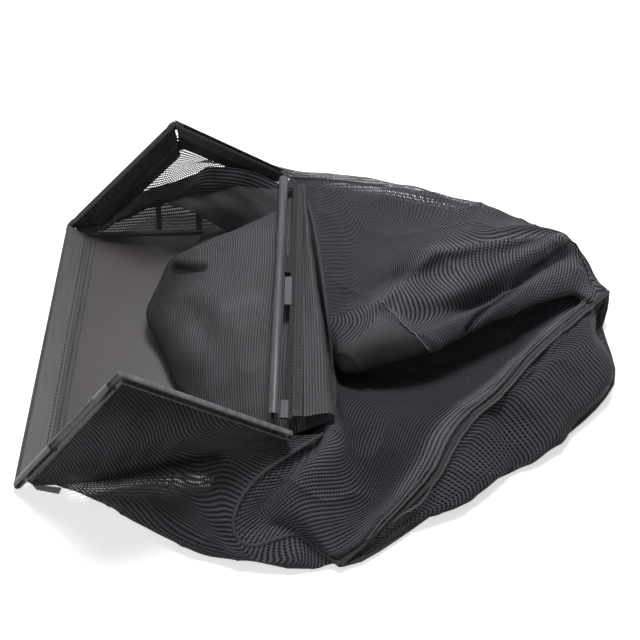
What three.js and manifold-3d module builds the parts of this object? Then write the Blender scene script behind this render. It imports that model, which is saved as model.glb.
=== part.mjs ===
// Grass collection bag of a walk-behind mower, off its wire frame and slumped on a floor.
// Millimetres, +Z up. X runs from the mouth to the rear seam, Y from the near side to the far side.
import * as THREE from "three";
import { mergeVertices } from "three/addons/utils/BufferGeometryUtils.js";
import Module from "manifold-3d";

// Driving dimensions
const MOUTH_WIDTH = 400; // front lip, as long as the frame wire it snaps over
const FRONT_TOP = [131, 177]; // X and Z of the near corner between front and top channels
const TOP_REAR = [286, 77]; // X and Z of the near top channel's rear end
const FAR_FRONT_TOP = [155, 167]; // X and Z of the same corner on the far side
const FAR_TOP_REAR = [287, 38, 54]; // the far top channel's end: X, sag past the mouth width, Z
const HOOK_RADIUS = 5.4; // outside of the channel that snaps over an 8 mm frame wire
const HOOK_WALL = 1.4;
const HOOK_SLIT = 70; // degrees left open for the wire
const FLANGE_WALL = 1.5;
const SIDE_LEG = 22; // sewn leg of the near side's channels and of the far front one, from the wire's middle
const LIP_LEG = 24; // the front lip's leg slopes down from the top of its tube to the vinyl
const FAR_TOP_LEG = 12; // this leg is short and its hem tape wide
const REAR_LEG = 19;
const CORNER_SLIT = 0.8; // between two channels that meet in a mitre
const TOP_SLIT = 2; // the far mitre at the top stands open a little more
const CLOTH = 1.3; // knitted mesh and ribbed cloth, with its folds pressed together
const VINYL = 1.4; // stiff floor sheet
const TAPE_WALL = 1.2;
const TAPE_WIDTH = 10; // hem tape sewn beside each leg
const FAR_TOP_TAPE = 14;
const PIPING_RADIUS = 2.2;
const REAR_PIPING_RADIUS = 3;
const SEAM_GAP = 0.3; // clearance that touching pieces keep
const FLOOR_Z = 0.4; // underside of the vinyl above the ground

const wasm = await Module();
wasm.setup();

const vec = (x, y, z) => new THREE.Vector3(x, y, z);
const spline = (points) => new THREE.CatmullRomCurve3(points.map((p) => vec(...p)), false, "centripetal");
const lerp = (a, b, t) => a + (b - a) * t;
const smooth = (t) => t * t * (3 - 2 * t);

// A closed three.js geometry as a manifold solid, and back
function solid(geometry) {
  const bare = geometry.clone();
  bare.deleteAttribute("normal");
  bare.deleteAttribute("uv");
  const merged = mergeVertices(bare, 1e-4);
  return new wasm.Manifold(
    new wasm.Mesh({
      numProp: 3,
      vertProperties: new Float32Array(merged.attributes.position.array),
      triVerts: new Uint32Array(merged.index.array),
    }),
  );
}

function geometryOf(manifold) {
  const mesh = manifold.getMesh();
  const geometry = new THREE.BufferGeometry();
  geometry.setAttribute("position", new THREE.BufferAttribute(new Float32Array(mesh.vertProperties), 3));
  geometry.setIndex(new THREE.BufferAttribute(new Uint32Array(mesh.triVerts), 1));
  geometry.computeVertexNormals();
  return geometry;
}

// The largest body of a cut sheet: slivers beside a seam are dropped
function largest(manifold) {
  return manifold.decompose().reduce((a, b) => (a.volume() > b.volume() ? a : b));
}

// Materials
const cloth = (color, roughness) => new THREE.MeshStandardMaterial({ color, roughness, metalness: 0 });
const MESH_KNIT = cloth(0x232327, 0.85);
const RIBBED = cloth(0x2b2b2f, 0.8);
const VINYL_SKIN = cloth(0x5a5457, 0.45);
const BINDING = cloth(0x3a3a3d, 0.35);
const TAPE = cloth(0x28282b, 0.75);

// Corners of the mouth
const GROUND = FLOOR_Z + VINYL + SEAM_GAP; // what stands on the vinyl starts here
const lipNear = vec(0, 0, GROUND + HOOK_RADIUS);
const lipFar = vec(0, MOUTH_WIDTH, GROUND + HOOK_RADIUS);
const cornerNear = vec(FRONT_TOP[0], 0, FRONT_TOP[1]);
const cornerFar = vec(FAR_FRONT_TOP[0], MOUTH_WIDTH, FAR_FRONT_TOP[1]);
const endNear = vec(TOP_REAR[0], 0, TOP_REAR[1]);
const endFar = vec(FAR_TOP_REAR[0], MOUTH_WIDTH + FAR_TOP_REAR[1], FAR_TOP_REAR[2]);
const barNear = vec(TOP_REAR[0] - 16.5, 19, TOP_REAR[1] + 9);
const barFar = vec(FAR_TOP_REAR[0] - 4, MOUTH_WIDTH + 2, FAR_TOP_REAR[2] + 24);

// Base seam: where the walls stand on the vinyl, at the height of the piping's middle
const BASE_Z = GROUND + PIPING_RADIUS;
const onBase = (points) => spline(points.map(([x, y]) => [x, y, BASE_Z]));
const tip = [332, -106];
const rearFoot = [661, 199];
const baseNear = onBase([[15, 0], [60, 1], [120, 6], [184, 12], [228, -2], [272, -40], [310, -84], tip]);
const baseRear = onBase([
  tip, [352, -101], [394, -75], [439, -43], [485, -14], [531, 9], [581, 40], [636, 88], [659, 122],
  rearFoot,
]);
const baseFar = onBase([
  [30, MOUTH_WIDTH - 14], [110, 386], [200, 388], [300, 396], [430, 374], [560, 306], rearFoot,
]);

// Seams between the cloth panels
const seamNear = spline([
  [320, 12, 62], [286, -11, 61], [257, -30, 56], [238, -48, 46], [228, -68, 33], [231, -82, 21],
  [246, -88, 15], [268, -82, 16], [291, -77, 17], [313, -93, 10], [332, -106, BASE_Z + 3],
]);
const seamRear = spline([
  [332, -106, BASE_Z + 3], [398, -56, 22], [434, -23, 30], [459, 17, 38], [479, 39, 45], [511, 64, 51],
  [546, 102, 57], [610, 166, 53], [668, 224, 40],
]);
const farJunction = [293, 441, 47]; // where the far, front and side seams meet
const seamFar = spline([
  farJunction, [343, 414, 64], [428, 380, 75], [480, 354, 78], [530, 336, 72], [600, 300, 58], [668, 224, 40],
]);
const seamFoot = spline([[668, 224, 40], [668, 215, 22], [rearFoot[0], rearFoot[1], BASE_Z]]);
const seamFront = spline([
  [327, 30, 57], [333, 52, 56], [335, 84, 49], [335, 108, 45], [334, 132, 54], [331, 164, 71], [327, 220, 78],
  [321, 300, 76], [312, 372, 66], farJunction,
]);

// A sheet lofted through guide curves. Each guide starts on one seam and ends on another, at the
// seams' parameters given with it, so that neighbours share their edges exactly.
function loft(rows, from, to) {
  const guides = rows.map(({ a, via, b, curve }) => {
    if (curve) return curve;
    return spline([from.getPoint(a).toArray(), ...via, to.getPoint(b).toArray()]);
  });
  const at = (list, v) => {
    const k = Math.min(Math.floor(v * (list.length - 1)), list.length - 2);
    return lerp(list[k], list[k + 1], v * (list.length - 1) - k);
  };
  const starts = rows.map((r) => r.a);
  const ends = rows.map((r) => r.b);
  const across = new Map();
  const raw = (u, v) => {
    if (!across.has(u)) across.set(u, spline(guides.map((g) => g.getPoint(u).toArray())));
    return across.get(u).getPoint(v);
  };
  return (u, v) => {
    const p = raw(u, v);
    const atStart = from.getPoint(at(starts, v)).sub(raw(0, v));
    const atEnd = to.getPoint(at(ends, v)).sub(raw(1, v));
    const nearStart = Math.max(0, 1 - u * 4);
    const nearEnd = Math.max(0, u * 4 - 3);
    return p.addScaledVector(atStart, smooth(nearStart)).addScaledVector(atEnd, smooth(nearEnd));
  };
}

// A surface given thickness as one closed shell, half to each side
function shell(surface, uSteps, vSteps, thickness) {
  const count = (uSteps + 1) * (vSteps + 1);
  const index = (i, j, side) => side * count + j * (uSteps + 1) + i;
  const grid = [];
  for (let j = 0; j <= vSteps; j++) {
    for (let i = 0; i <= uSteps; i++) grid.push(surface(i / uSteps, j / vSteps));
  }
  const held = (k, steps) => Math.min(Math.max(k, 0), steps);
  const point = (i, j) => grid[held(j, vSteps) * (uSteps + 1) + held(i, uSteps)];
  const positions = new Float32Array(count * 6);
  for (let j = 0; j <= vSteps; j++) {
    for (let i = 0; i <= uSteps; i++) {
      const du = point(i + 1, j).clone().sub(point(i - 1, j));
      const dv = point(i, j + 1).clone().sub(point(i, j - 1));
      const normal = du.cross(dv).normalize();
      const p = point(i, j);
      p.clone().addScaledVector(normal, thickness / 2).toArray(positions, index(i, j, 0) * 3);
      p.clone().addScaledVector(normal, -thickness / 2).toArray(positions, index(i, j, 1) * 3);
    }
  }
  const faces = [];
  const quad = (a, b, c, d) => faces.push(a, b, c, a, c, d);
  for (let j = 0; j < vSteps; j++) {
    for (let i = 0; i < uSteps; i++) {
      quad(index(i, j, 0), index(i + 1, j, 0), index(i + 1, j + 1, 0), index(i, j + 1, 0));
      quad(index(i, j, 1), index(i, j + 1, 1), index(i + 1, j + 1, 1), index(i + 1, j, 1));
    }
  }
  for (let i = 0; i < uSteps; i++) {
    quad(index(i, 0, 0), index(i, 0, 1), index(i + 1, 0, 1), index(i + 1, 0, 0));
    quad(index(i, vSteps, 0), index(i + 1, vSteps, 0), index(i + 1, vSteps, 1), index(i, vSteps, 1));
  }
  for (let j = 0; j < vSteps; j++) {
    quad(index(0, j, 0), index(0, j + 1, 0), index(0, j + 1, 1), index(0, j, 1));
    quad(index(uSteps, j, 0), index(uSteps, j, 1), index(uSteps, j + 1, 1), index(uSteps, j + 1, 0));
  }
  const geometry = new THREE.BufferGeometry();
  geometry.setAttribute("position", new THREE.BufferAttribute(positions, 3));
  geometry.setIndex(faces);
  const made = solid(geometry);
  return made.volume() < 0 ? solid(turned(geometry)) : made;
}

function turned(geometry) {
  const index = geometry.index.array;
  for (let k = 0; k < index.length; k += 3) [index[k + 1], index[k + 2]] = [index[k + 2], index[k + 1]];
  return geometry;
}

// A round cord sewn into a seam
function cord(curve, radius, steps, sides = 6) {
  const ring = new THREE.Shape();
  for (let k = 0; k < sides; k++) {
    const angle = (k / sides) * 2 * Math.PI;
    ring[k ? "lineTo" : "moveTo"](radius * Math.cos(angle), radius * Math.sin(angle));
  }
  ring.closePath();
  return solid(new THREE.ExtrudeGeometry(ring, { steps, extrudePath: curve, bevelEnabled: false }));
}

// The room round a cord: the same cord grown, with a round end past each of its own
function cordRoom(curve, radius, steps) {
  const ball = (t) => solid(new THREE.SphereGeometry(radius * 1.05, 10, 8).translate(...curve.getPoint(t)));
  return cord(curve, radius, steps).add(ball(0)).add(ball(1));
}

// The frame of a channel: its length runs along the wire, its leg to the sewn side, its face outwards
function frameOf({ from, to, legTowards }) {
  const along = to.clone().sub(from).normalize();
  const leg = legTowards.clone().addScaledVector(along, -legTowards.dot(along)).normalize();
  const face = along.clone().cross(leg);
  return { along, leg, face, length: from.distanceTo(to) };
}

function placed(geometry, spec) {
  const { along, leg, face } = frameOf(spec);
  return solid(geometry.applyMatrix4(new THREE.Matrix4().makeBasis(leg, face, along).setPosition(spec.from)));
}

function slab([a0, a1], [b0, b1], [s0, s1], spec) {
  const box = new THREE.BoxGeometry(a1 - a0, b1 - b0, s1 - s0);
  return placed(box.translate((a0 + a1) / 2, (b0 + b1) / 2, (s0 + s1) / 2), spec);
}

// The extruded channel: a split tube that snaps over the wire, with a flat leg that is sewn on.
// Grown by the seam gap it becomes the room that its neighbours leave for it.
function channel(spec, extra = 0) {
  const { length } = frameOf(spec);
  const s0 = spec.start - extra;
  const s1 = length - spec.stop + extra;
  const radians = THREE.MathUtils.degToRad;
  const open = radians(spec.slitAt + HOOK_SLIT / 2);
  const close = radians(spec.slitAt - HOOK_SLIT / 2) + 2 * Math.PI;
  const ring = new THREE.Shape();
  ring.absarc(0, 0, HOOK_RADIUS + extra, open, close, false);
  ring.absarc(0, 0, HOOK_RADIUS - HOOK_WALL - extra, close, open, true);
  ring.closePath();
  const extruded = { depth: s1 - s0, steps: 1, bevelEnabled: false, curveSegments: 12 };
  const tube = placed(new THREE.ExtrudeGeometry(ring, extruded).translate(0, 0, s0), spec);
  const legAt = [-HOOK_RADIUS - extra, -HOOK_RADIUS + FLANGE_WALL + extra];
  const made = mitred(tube.add(slab([-extra, spec.leg + extra], legAt, [s0, s1], spec)), spec, extra);
  if (extra) return made;
  return (spec.cuts || []).reduce((body, [a, b, s]) => body.subtract(slab(a, b, s, spec)), made);
}

// Two channels meet in a mitre: the plane between them, with a slit, leaves each its own side
function mitre(corner, before, after, slit) {
  const ahead = corner.clone().sub(before).normalize();
  const normal = after.clone().sub(corner).normalize().add(ahead).normalize();
  return [normal.clone().negate(), normal].map((keep) => ({ keep, offset: corner.dot(keep) + slit / 2 }));
}

function mitred(body, spec, extra) {
  return spec.mitres.reduce((cut, { keep, offset }) => cut.trimByPlane(keep.toArray(), offset - extra), body);
}

// Windows cut into the leg beside the tube, and stretches where the tube is cut away
const HOOK_SPAN = HOOK_RADIUS + 1;
const WINDOW = [HOOK_RADIUS + 1, HOOK_RADIUS + 8];
const windowAt = (s0, s1) => [WINDOW, [-HOOK_SPAN, 0], [s0, s1]];
const tubeOff = (s0, s1) => [[-HOOK_SPAN, HOOK_SPAN], [-1, HOOK_SPAN], [s0, s1]];

// A point beside a channel: s along it, a out along the leg, b towards its face
function beside(spec, s, a, b) {
  const { along, leg, face } = frameOf(spec);
  return spec.from.clone().addScaledVector(along, s).addScaledVector(leg, a).addScaledVector(face, b);
}

const root = new THREE.Group();
const makers = [];
function add(name, make, material) {
  makers.push({ name, make, material });
}

// Channels round the mouth. Each runs past its mitred ends before they are cut.
const OVERLONG = -40;
const [lipAtFar, farFrontAtLip] = mitre(lipFar, lipNear, cornerFar, CORNER_SLIT);
const [farFrontAtTop, farTopAtFront] = mitre(cornerFar, lipFar, endFar, TOP_SLIT);
const [lipAtNear, nearFrontAtLip] = mitre(lipNear, lipFar, cornerNear, CORNER_SLIT);
const [nearFrontAtTop, nearTopAtFront] = mitre(cornerNear, lipNear, endNear, CORNER_SLIT);
const frontLength = lipNear.distanceTo(cornerNear);
const barLength = barNear.distanceTo(barFar);
const lip = {
  from: lipNear, to: lipFar, legTowards: vec(1, 0, -0.4), leg: LIP_LEG, slitAt: 165,
  start: OVERLONG, stop: OVERLONG, mitres: [lipAtNear, lipAtFar],
};
const nearFront = {
  from: cornerNear, to: lipNear, legTowards: vec(1, 0, -0.6), leg: SIDE_LEG, slitAt: 78,
  start: OVERLONG, stop: OVERLONG, mitres: [nearFrontAtTop, nearFrontAtLip],
  cuts: [tubeOff(OVERLONG, frontLength * 0.08), tubeOff(frontLength * 0.2, frontLength * 0.64)],
};
const nearTop = {
  from: endNear, to: cornerNear, legTowards: vec(-0.5, 0, -1), leg: SIDE_LEG, slitAt: 112,
  start: 0, stop: OVERLONG, mitres: [nearTopAtFront],
};
const farFront = {
  from: lipFar, to: cornerFar, legTowards: vec(1, 0.06, -0.9), leg: SIDE_LEG, slitAt: 150,
  start: OVERLONG, stop: OVERLONG, mitres: [farFrontAtLip, farFrontAtTop], cuts: [tubeOff(OVERLONG, 24)],
};
const farTop = {
  from: cornerFar, to: endFar, legTowards: vec(-0.6, 0.25, -1), leg: FAR_TOP_LEG, slitAt: 180,
  start: OVERLONG, stop: 7, mitres: [farTopAtFront], tape: FAR_TOP_TAPE,
};
const rear = {
  from: barFar, to: barNear, legTowards: vec(1, 0, -0.05), leg: REAR_LEG, slitAt: 200, start: 0, stop: 0,
  mitres: [], cuts: [windowAt(14, barLength * 0.36), windowAt(barLength * 0.44, barLength - 18)],
};
const channels = new Map([
  ["front_lip_channel", lip],
  ["near_front_channel", nearFront],
  ["near_top_channel", nearTop],
  ["far_front_channel", farFront],
  ["far_top_channel", farTop],
  ["rear_channel", rear],
]);
for (const [name, spec] of channels) add(name, (extra) => channel(spec, extra), BINDING);

// Hem tapes beside each leg, sewn down on the cloth. The lip's lies flat on the vinyl.
const HEM = 4; // a tape stops short of its channel's free end
for (const [name, spec] of channels) {
  const flat = spec === lip;
  const on = flat ? { ...lip, legTowards: vec(1, 0, 0) } : spec;
  const low = flat ? HOOK_RADIUS - TAPE_WALL : -HOOK_RADIUS + 0.1;
  const edge = spec.leg + (flat ? 1 : SEAM_GAP);
  const short = (end) => (end < 0 ? end : end + HEM);
  const run = [short(spec.start), frameOf(spec).length - short(spec.stop)];
  const make = (extra) => {
    const [a, b, s] = [[edge, edge + (spec.tape || TAPE_WIDTH)], [low, low + TAPE_WALL], run].map((range) => [
      range[0] - extra, range[1] + extra,
    ]);
    return mitred(slab(a, b, s, on), spec, extra);
  };
  add(name.replace("channel", "tape"), make, TAPE);
}

// Base sheet, cut to the walls' footprint
const outline = [
  vec(HOOK_RADIUS, MOUTH_WIDTH - 6, 0),
  vec(HOOK_RADIUS, 6, 0),
  ...baseNear.getPoints(18),
  ...baseRear.getPoints(22).slice(1),
  ...baseFar.getPoints(16).reverse().slice(1),
];
const footprint = new THREE.Shape(outline.map((p) => new THREE.Vector2(p.x, p.y)));
const sheet = new THREE.ExtrudeGeometry(footprint, { depth: VINYL, steps: 1, bevelEnabled: false });
sheet.translate(0, 0, FLOOR_Z);
add(
  "floor_panel",
  (extra) => solid(sheet).add(solid(sheet.clone().translate(0, 0, extra))),
  VINYL_SKIN,
);

// Cloth walls
const CLOTH_UNDER = -HOOK_RADIUS + FLANGE_WALL + 2 * SEAM_GAP + CLOTH / 2;
const UNDER_LEG = HOOK_RADIUS + 4; // how far under the leg the cloth's edge lies
const nearCorner = cornerNear.clone().add(vec(1, -CLOTH_UNDER, -UNDER_LEG - 4));
const mouthNear = new THREE.LineCurve3(baseNear.getPoint(0), nearCorner);
const underTop = (spec, stops) => {
  const { length } = frameOf(spec);
  return stops.map((s) => beside(spec, s * length, UNDER_LEG, CLOTH_UNDER));
};
const topNear = new THREE.CatmullRomCurve3([
  nearCorner, ...underTop(nearTop, [0.5, 0.08]), seamNear.getPoint(0),
]);
// The near wall turns out of the base seam, lies on the ground as far as a fold, and comes back up
const nearWall = loft(
  [
    { curve: baseNear, a: 0, b: 1 },
    {
      a: 0.03, b: 1,
      via: [
        [64, -8, 3.4], [92, -24, 3.4], [128, -50, 3.4], [190, -80, 3.4], [260, -96, 3.4], [308, -102, 3.6],
      ],
    },
    {
      a: 0.06, b: 0.85,
      via: [[70, -20, 14], [130, -46, 22], [190, -74, 20], [240, -96, 12], [290, -98, 11]],
    },
    { a: 0.09, via: [[72, -17, 18], [133, -38, 28], [186, -64, 29], [222, -85, 19], [248, -93, 13]], b: 0.7 },
    { a: 0.13, via: [[78, -12, 24], [138, -26, 37], [185, -42, 44], [212, -60, 38]], b: 0.46 },
    { a: 0.2, via: [[85, -4, 30], [140, -2, 42], [190, -2, 52], [222, -12, 57]], b: 0.3 },
    { a: 0.45, via: [[120, -2, 70], [165, -2, 78], [215, -3, 74], [255, -8, 68]], b: 0.12 },
    { curve: topNear, a: 1, b: 0 },
  ],
  mouthNear,
  seamNear,
);
const nearWallShell = (extra) => shell(nearWall, 14, 16, CLOTH + 2 * extra);

const rearWall = loft(
  [
    { curve: baseRear, a: 0, b: 1 },
    {
      a: 0, b: 0.6,
      via: [[398, -66, 14], [470, -18, 22], [520, 18, 16], [580, 52, 26], [640, 100, 30], [668, 150, 26]],
    },
    {
      a: 0, b: 0.3,
      via: [[402, -58, 20], [462, 2, 32], [510, 46, 40], [560, 88, 50], [625, 140, 46], [668, 185, 38]],
    },
    { curve: seamRear, a: 0, b: 0 },
  ],
  spline([[332, -106, BASE_Z], [332, -106, BASE_Z + 3]]),
  seamFoot,
);
const rearWallShell = (extra) => shell(rearWall, 18, 7, CLOTH + 2 * extra);

const farCorner = cornerFar.clone().add(vec(1, CLOTH_UNDER, -UNDER_LEG - 4));
const mouthFar = new THREE.LineCurve3(baseFar.getPoint(0), farCorner);
const topFar = new THREE.CatmullRomCurve3([
  farCorner, ...underTop(farTop, [0.34, 0.7, 0.955]), ...seamFar.getPoints(6),
]);
// The far wall has a slack fold across it, which hangs forward over its foot
const farWall = loft(
  [
    { curve: baseFar, a: 0, b: 1 },
    {
      a: 0.14, b: 0.8,
      via: [[106, 416, 14], [176, 426, 20], [300, 428, 22], [430, 394, 26], [560, 322, 22]],
    },
    {
      a: 0.26, b: 0.65,
      via: [[110, 430, 24], [178, 436, 38], [304, 436, 34], [430, 400, 36], [560, 325, 32]],
    },
    {
      a: 0.34, b: 0.5,
      via: [[106, 414, 36], [176, 418, 60], [304, 430, 43], [430, 400, 48], [560, 328, 40]],
    },
    {
      a: 0.42, b: 0.4,
      via: [[112, 420, 50], [184, 428, 74], [300, 440, 50], [430, 402, 56], [560, 331, 48]],
    },
    {
      a: 0.75, b: 0.25,
      via: [[150, 422, 88], [215, 440, 84], [300, 448, 54], [430, 402, 66], [560, 334, 56]],
    },
    { curve: topFar, a: 1, b: 0 },
  ],
  mouthFar,
  seamFoot,
);
const farWallShell = (extra) => shell(farWall, 22, 12, CLOTH + 2 * extra);

const topSheet = loft(
  [
    { curve: seamNear, a: 0, b: 0 },
    {
      a: 0.03, b: 0.01,
      via: [
        [304, -12, 54], [272, -40, 42], [254, -56, 30], [258, -67, 22], [277, -68, 22], [302, -80, 20],
        [322, -98, 12],
      ],
    },
    {
      a: 0.06, b: 0.03,
      via: [[318, -6, 68], [294, -36, 60], [294, -58, 46], [308, -80, 31], [326, -99, 16]],
    },
    { a: 0.12, via: [[338, -8, 70], [345, -36, 54], [360, -58, 34], [372, -66, 25]], b: 0.1 },
    { a: 0.2, via: [[345, 30, 64], [378, 8, 52], [405, -8, 40]], b: 0.25 },
    { a: 0.26, via: [[348, 66, 54], [390, 56, 46], [430, 42, 42]], b: 0.42 },
    { a: 0.29, via: [[350, 92, 43], [395, 90, 38], [461, 88, 38], [512, 92, 46]], b: 0.7 },
    {
      a: 0.32, b: 0.84,
      via: [[352, 110, 36], [395, 112, 31], [455, 122, 31], [530, 150, 35], [584, 176, 42]],
    },
    {
      a: 0.35, b: 0.92,
      via: [[352, 124, 34], [395, 132, 29], [450, 150, 30], [520, 184, 33], [575, 208, 36], [630, 220, 40]],
    },
    {
      a: 0.39, b: 0.94,
      via: [[350, 112, 48], [390, 118, 44], [445, 136, 48], [505, 168, 50], [566, 196, 50], [622, 214, 48]],
    },
    {
      a: 0.42, b: 0.95,
      via: [[345, 92, 64], [385, 97, 65], [439, 112, 70], [500, 146, 73], [562, 178, 70], [620, 206, 60]],
    },
    {
      a: 0.46, b: 0.96,
      via: [[350, 106, 76], [394, 112, 82], [446, 128, 86], [510, 164, 86], [570, 200, 82], [626, 232, 70]],
    },
    {
      a: 0.5, b: 0.965,
      via: [
        [355, 124, 82], [398, 138, 88], [452, 152, 86], [503, 178, 73], [548, 204, 71], [592, 238, 70],
        [632, 262, 64],
      ],
    },
    {
      a: 0.54, b: 0.97,
      via: [
        [362, 142, 87], [392, 166, 95], [444, 164, 99], [490, 180, 100], [536, 212, 100], [582, 244, 96],
        [628, 276, 76],
      ],
    },
    {
      a: 0.6, b: 0.98,
      via: [[354, 176, 83], [398, 192, 97], [446, 196, 104], [505, 210, 108], [570, 252, 99], [630, 278, 73]],
    },
    {
      a: 0.66, b: 0.985,
      via: [
        [360, 212, 86], [410, 212, 107], [455, 222, 121], [506, 240, 121], [572, 270, 106], [634, 276, 71],
      ],
    },
    {
      a: 0.76, b: 0.99,
      via: [[370, 272, 86], [440, 282, 104], [510, 288, 108], [580, 290, 90], [636, 276, 64]],
    },
    {
      a: 0.88, b: 0.995,
      via: [[360, 346, 84], [430, 346, 102], [500, 330, 100], [570, 308, 84], [640, 268, 56]],
    },
    { curve: seamFar, a: 1, b: 1 },
  ],
  seamFront,
  seamRear,
);
const topSheetShell = (extra) => shell(topSheet, 21, 36, CLOTH + 2 * extra);

// The ribbed cloth behind the mouth: out from the rear channel, over a roll, back under it as a
// tongue that lies in the mouth, and out again beneath to the seam with the mesh. Along the far side
// it drops behind a straight ridge to its edge.
const foldNear = spline([
  [300, 22, 79], [326, 24, 81], [333, 26, 72], [324, 28, 60], [290, 20, 52], [245, 14, 30], [212, 13, 18],
  [188, 14, 11], [192, 14, 6.5], [220, 14, 7], [270, 15, 14], [306, 22, 32], [327, 30, 57],
]);
const foldFar = spline([
  [306, 396, 71], [308, 396, 75], [311, 396, 68], [306, 397, 62], [288, 399, 62], [252, 400, 50],
  [212, 392, 28],
  [176, 376, 11], [178, 378, 6], [222, 388, 10], [266, 402, 24], [288, 422, 38], farJunction,
]);
const FOLDS = 12;
const ribbedSheet = loft(
  [
    [[303, 150, 77], [305, 280, 74]],
    [[320, 150, 84], [312, 290, 80]],
    [[326, 150, 74], [316, 290, 71]],
    [[316, 150, 62], [308, 290, 61]],
    [[284, 110, 56], [286, 230, 60], [286, 340, 62], [286, 372, 60]],
    [[240, 90, 42], [237, 160, 57], [238, 240, 66], [245, 310, 62], [256, 346, 60], [252, 366, 46]],
    [[202, 90, 24], [190, 150, 42], [186, 226, 52], [190, 286, 50], [200, 328, 48], [204, 348, 30]],
    [[164, 104, 10], [141, 166, 17], [118, 222, 24], [126, 262, 26], [142, 300, 36], [158, 324, 16]],
    [[167, 106, 5.5], [146, 168, 8], [123, 224, 13], [130, 262, 14], [148, 300, 18], [162, 326, 8]],
    [[212, 104, 6], [192, 180, 12], [184, 262, 16], [196, 320, 14]],
    [[266, 100, 14], [262, 190, 26], [260, 284, 32], [262, 350, 26]],
    [[308, 100, 34], [306, 190, 42], [302, 290, 44], [296, 370, 40]],
  ]
    .map((via, k) => ({ a: k / FOLDS, via, b: k / FOLDS }))
    .concat([{ curve: seamFront, a: 1, b: 1 }]),
  foldNear,
  foldFar,
);
const ribbedSheetShell = (extra) => shell(ribbedSheet, 20, 34, CLOTH + 2 * extra);

// Piping that the seams close on
const piping = [
  ["near_seam_piping", seamNear, 26, PIPING_RADIUS],
  ["rear_seam_piping", seamRear, 24, REAR_PIPING_RADIUS],
  ["far_seam_piping", seamFar, 30, PIPING_RADIUS],
  ["foot_seam_piping", seamFoot, 4, PIPING_RADIUS],
  ["front_seam_piping", seamFront, 26, PIPING_RADIUS],
  ["near_base_piping", baseNear, 20, PIPING_RADIUS],
  ["rear_base_piping", baseRear, 22, PIPING_RADIUS],
  ["far_base_piping", baseFar, 16, PIPING_RADIUS],
];
for (const [name, curve, steps, radius] of piping) {
  add(name, (extra) => (extra ? cordRoom : cord)(curve, radius + extra, steps), TAPE);
}
add("top_ribbed_panel", ribbedSheetShell, RIBBED);
add("near_side_panel", nearWallShell, MESH_KNIT);
add("far_side_panel", farWallShell, MESH_KNIT);
add("rear_panel", rearWallShell, MESH_KNIT);
add("top_mesh_panel", topSheetShell, MESH_KNIT);

// Each piece leaves the seam gap to the pieces named before it
const boxesMeet = (a, b) => [0, 1, 2].every((k) => a.min[k] < b.max[k] && b.min[k] < a.max[k]);
const made = [];
const under = solid(new THREE.BoxGeometry(2000, 2000, 100).translate(0, 0, GROUND - 50));
for (const { name, make, material } of makers) {
  let piece = make(0);
  if (name !== "floor_panel" && piece.boundingBox().min[2] < GROUND) piece = largest(piece.subtract(under));
  for (const other of made) {
    if (!boxesMeet(piece.boundingBox(), other.room.boundingBox())) continue;
    if (piece.intersect(other.room).volume() > 0) piece = largest(piece.subtract(other.room));
    if (piece.intersect(other.piece).volume() > 0) piece = largest(piece.subtract(other.piece));
  }
  made.push({ name, material, piece, room: make(SEAM_GAP).add(piece) });
}

// The part's origin: the middle of its footprint, on the ground
const box = new THREE.Box3();
const geometries = made.map(({ piece }) => geometryOf(piece));
for (const geometry of geometries) {
  geometry.computeBoundingBox();
  box.union(geometry.boundingBox);
}
const middle = box.getCenter(vec(0, 0, 0));
made.forEach(({ name, material }, k) => {
  const mesh = new THREE.Mesh(geometries[k].translate(-middle.x, -middle.y, -box.min.z), material);
  mesh.name = name;
  root.add(mesh);
});
export default root;
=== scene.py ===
import math

import bpy
import numpy as np
from bpy.props import FloatProperty, PointerProperty
from mathutils import Matrix, Vector


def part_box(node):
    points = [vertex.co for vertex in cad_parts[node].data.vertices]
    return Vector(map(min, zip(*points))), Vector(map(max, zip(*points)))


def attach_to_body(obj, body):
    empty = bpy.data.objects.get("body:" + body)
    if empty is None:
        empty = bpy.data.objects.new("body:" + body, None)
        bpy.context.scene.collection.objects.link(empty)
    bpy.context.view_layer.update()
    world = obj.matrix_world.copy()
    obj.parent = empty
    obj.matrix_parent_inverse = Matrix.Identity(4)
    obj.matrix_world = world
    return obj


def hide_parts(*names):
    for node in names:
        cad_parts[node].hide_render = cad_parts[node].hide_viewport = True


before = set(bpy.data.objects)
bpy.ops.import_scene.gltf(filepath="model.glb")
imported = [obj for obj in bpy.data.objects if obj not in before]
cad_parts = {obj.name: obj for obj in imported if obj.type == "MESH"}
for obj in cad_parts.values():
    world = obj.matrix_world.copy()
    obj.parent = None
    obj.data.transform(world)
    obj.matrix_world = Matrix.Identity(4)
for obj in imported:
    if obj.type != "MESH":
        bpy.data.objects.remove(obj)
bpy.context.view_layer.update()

bl_info = {
    "name": "Grass collection bag",
    "version": (1, 1, 0),
    "blender": (4, 5, 0),
    "location": "View3D > Sidebar > Grass bag",
    "description": "Knitted walls, vinyl floor, snap-on channels and stitching of a mower's grass bag",
    "category": "Object",
}

MM = 0.001

# The CAD's origin is the middle of the footprint. The shapes below are given from the near end of the
# front lip instead, in millimetres: X to the rear, Y to the far side, Z up. The vinyl's front edge and
# its near corner show where that point lies in the frame.
HOOK = 5.4
TIP = (332, -106)
FLOOR_LIFT = 0.4
VINYL = 1.4
SEAM_GAP = 0.3
CLOTH = 1.3
PIPING = 2.2
LEG_WALL = 1.5
TAPE_WALL = 1.2
FLOOR_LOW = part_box("floor_panel")[0]
CORNER = np.array([FLOOR_LOW[0] - HOOK * MM, FLOOR_LOW[1] - TIP[1] * MM, FLOOR_LOW[2] - FLOOR_LIFT * MM])
GROUND = FLOOR_LIFT + VINYL + SEAM_GAP
BASE_Z = GROUND + PIPING


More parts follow.
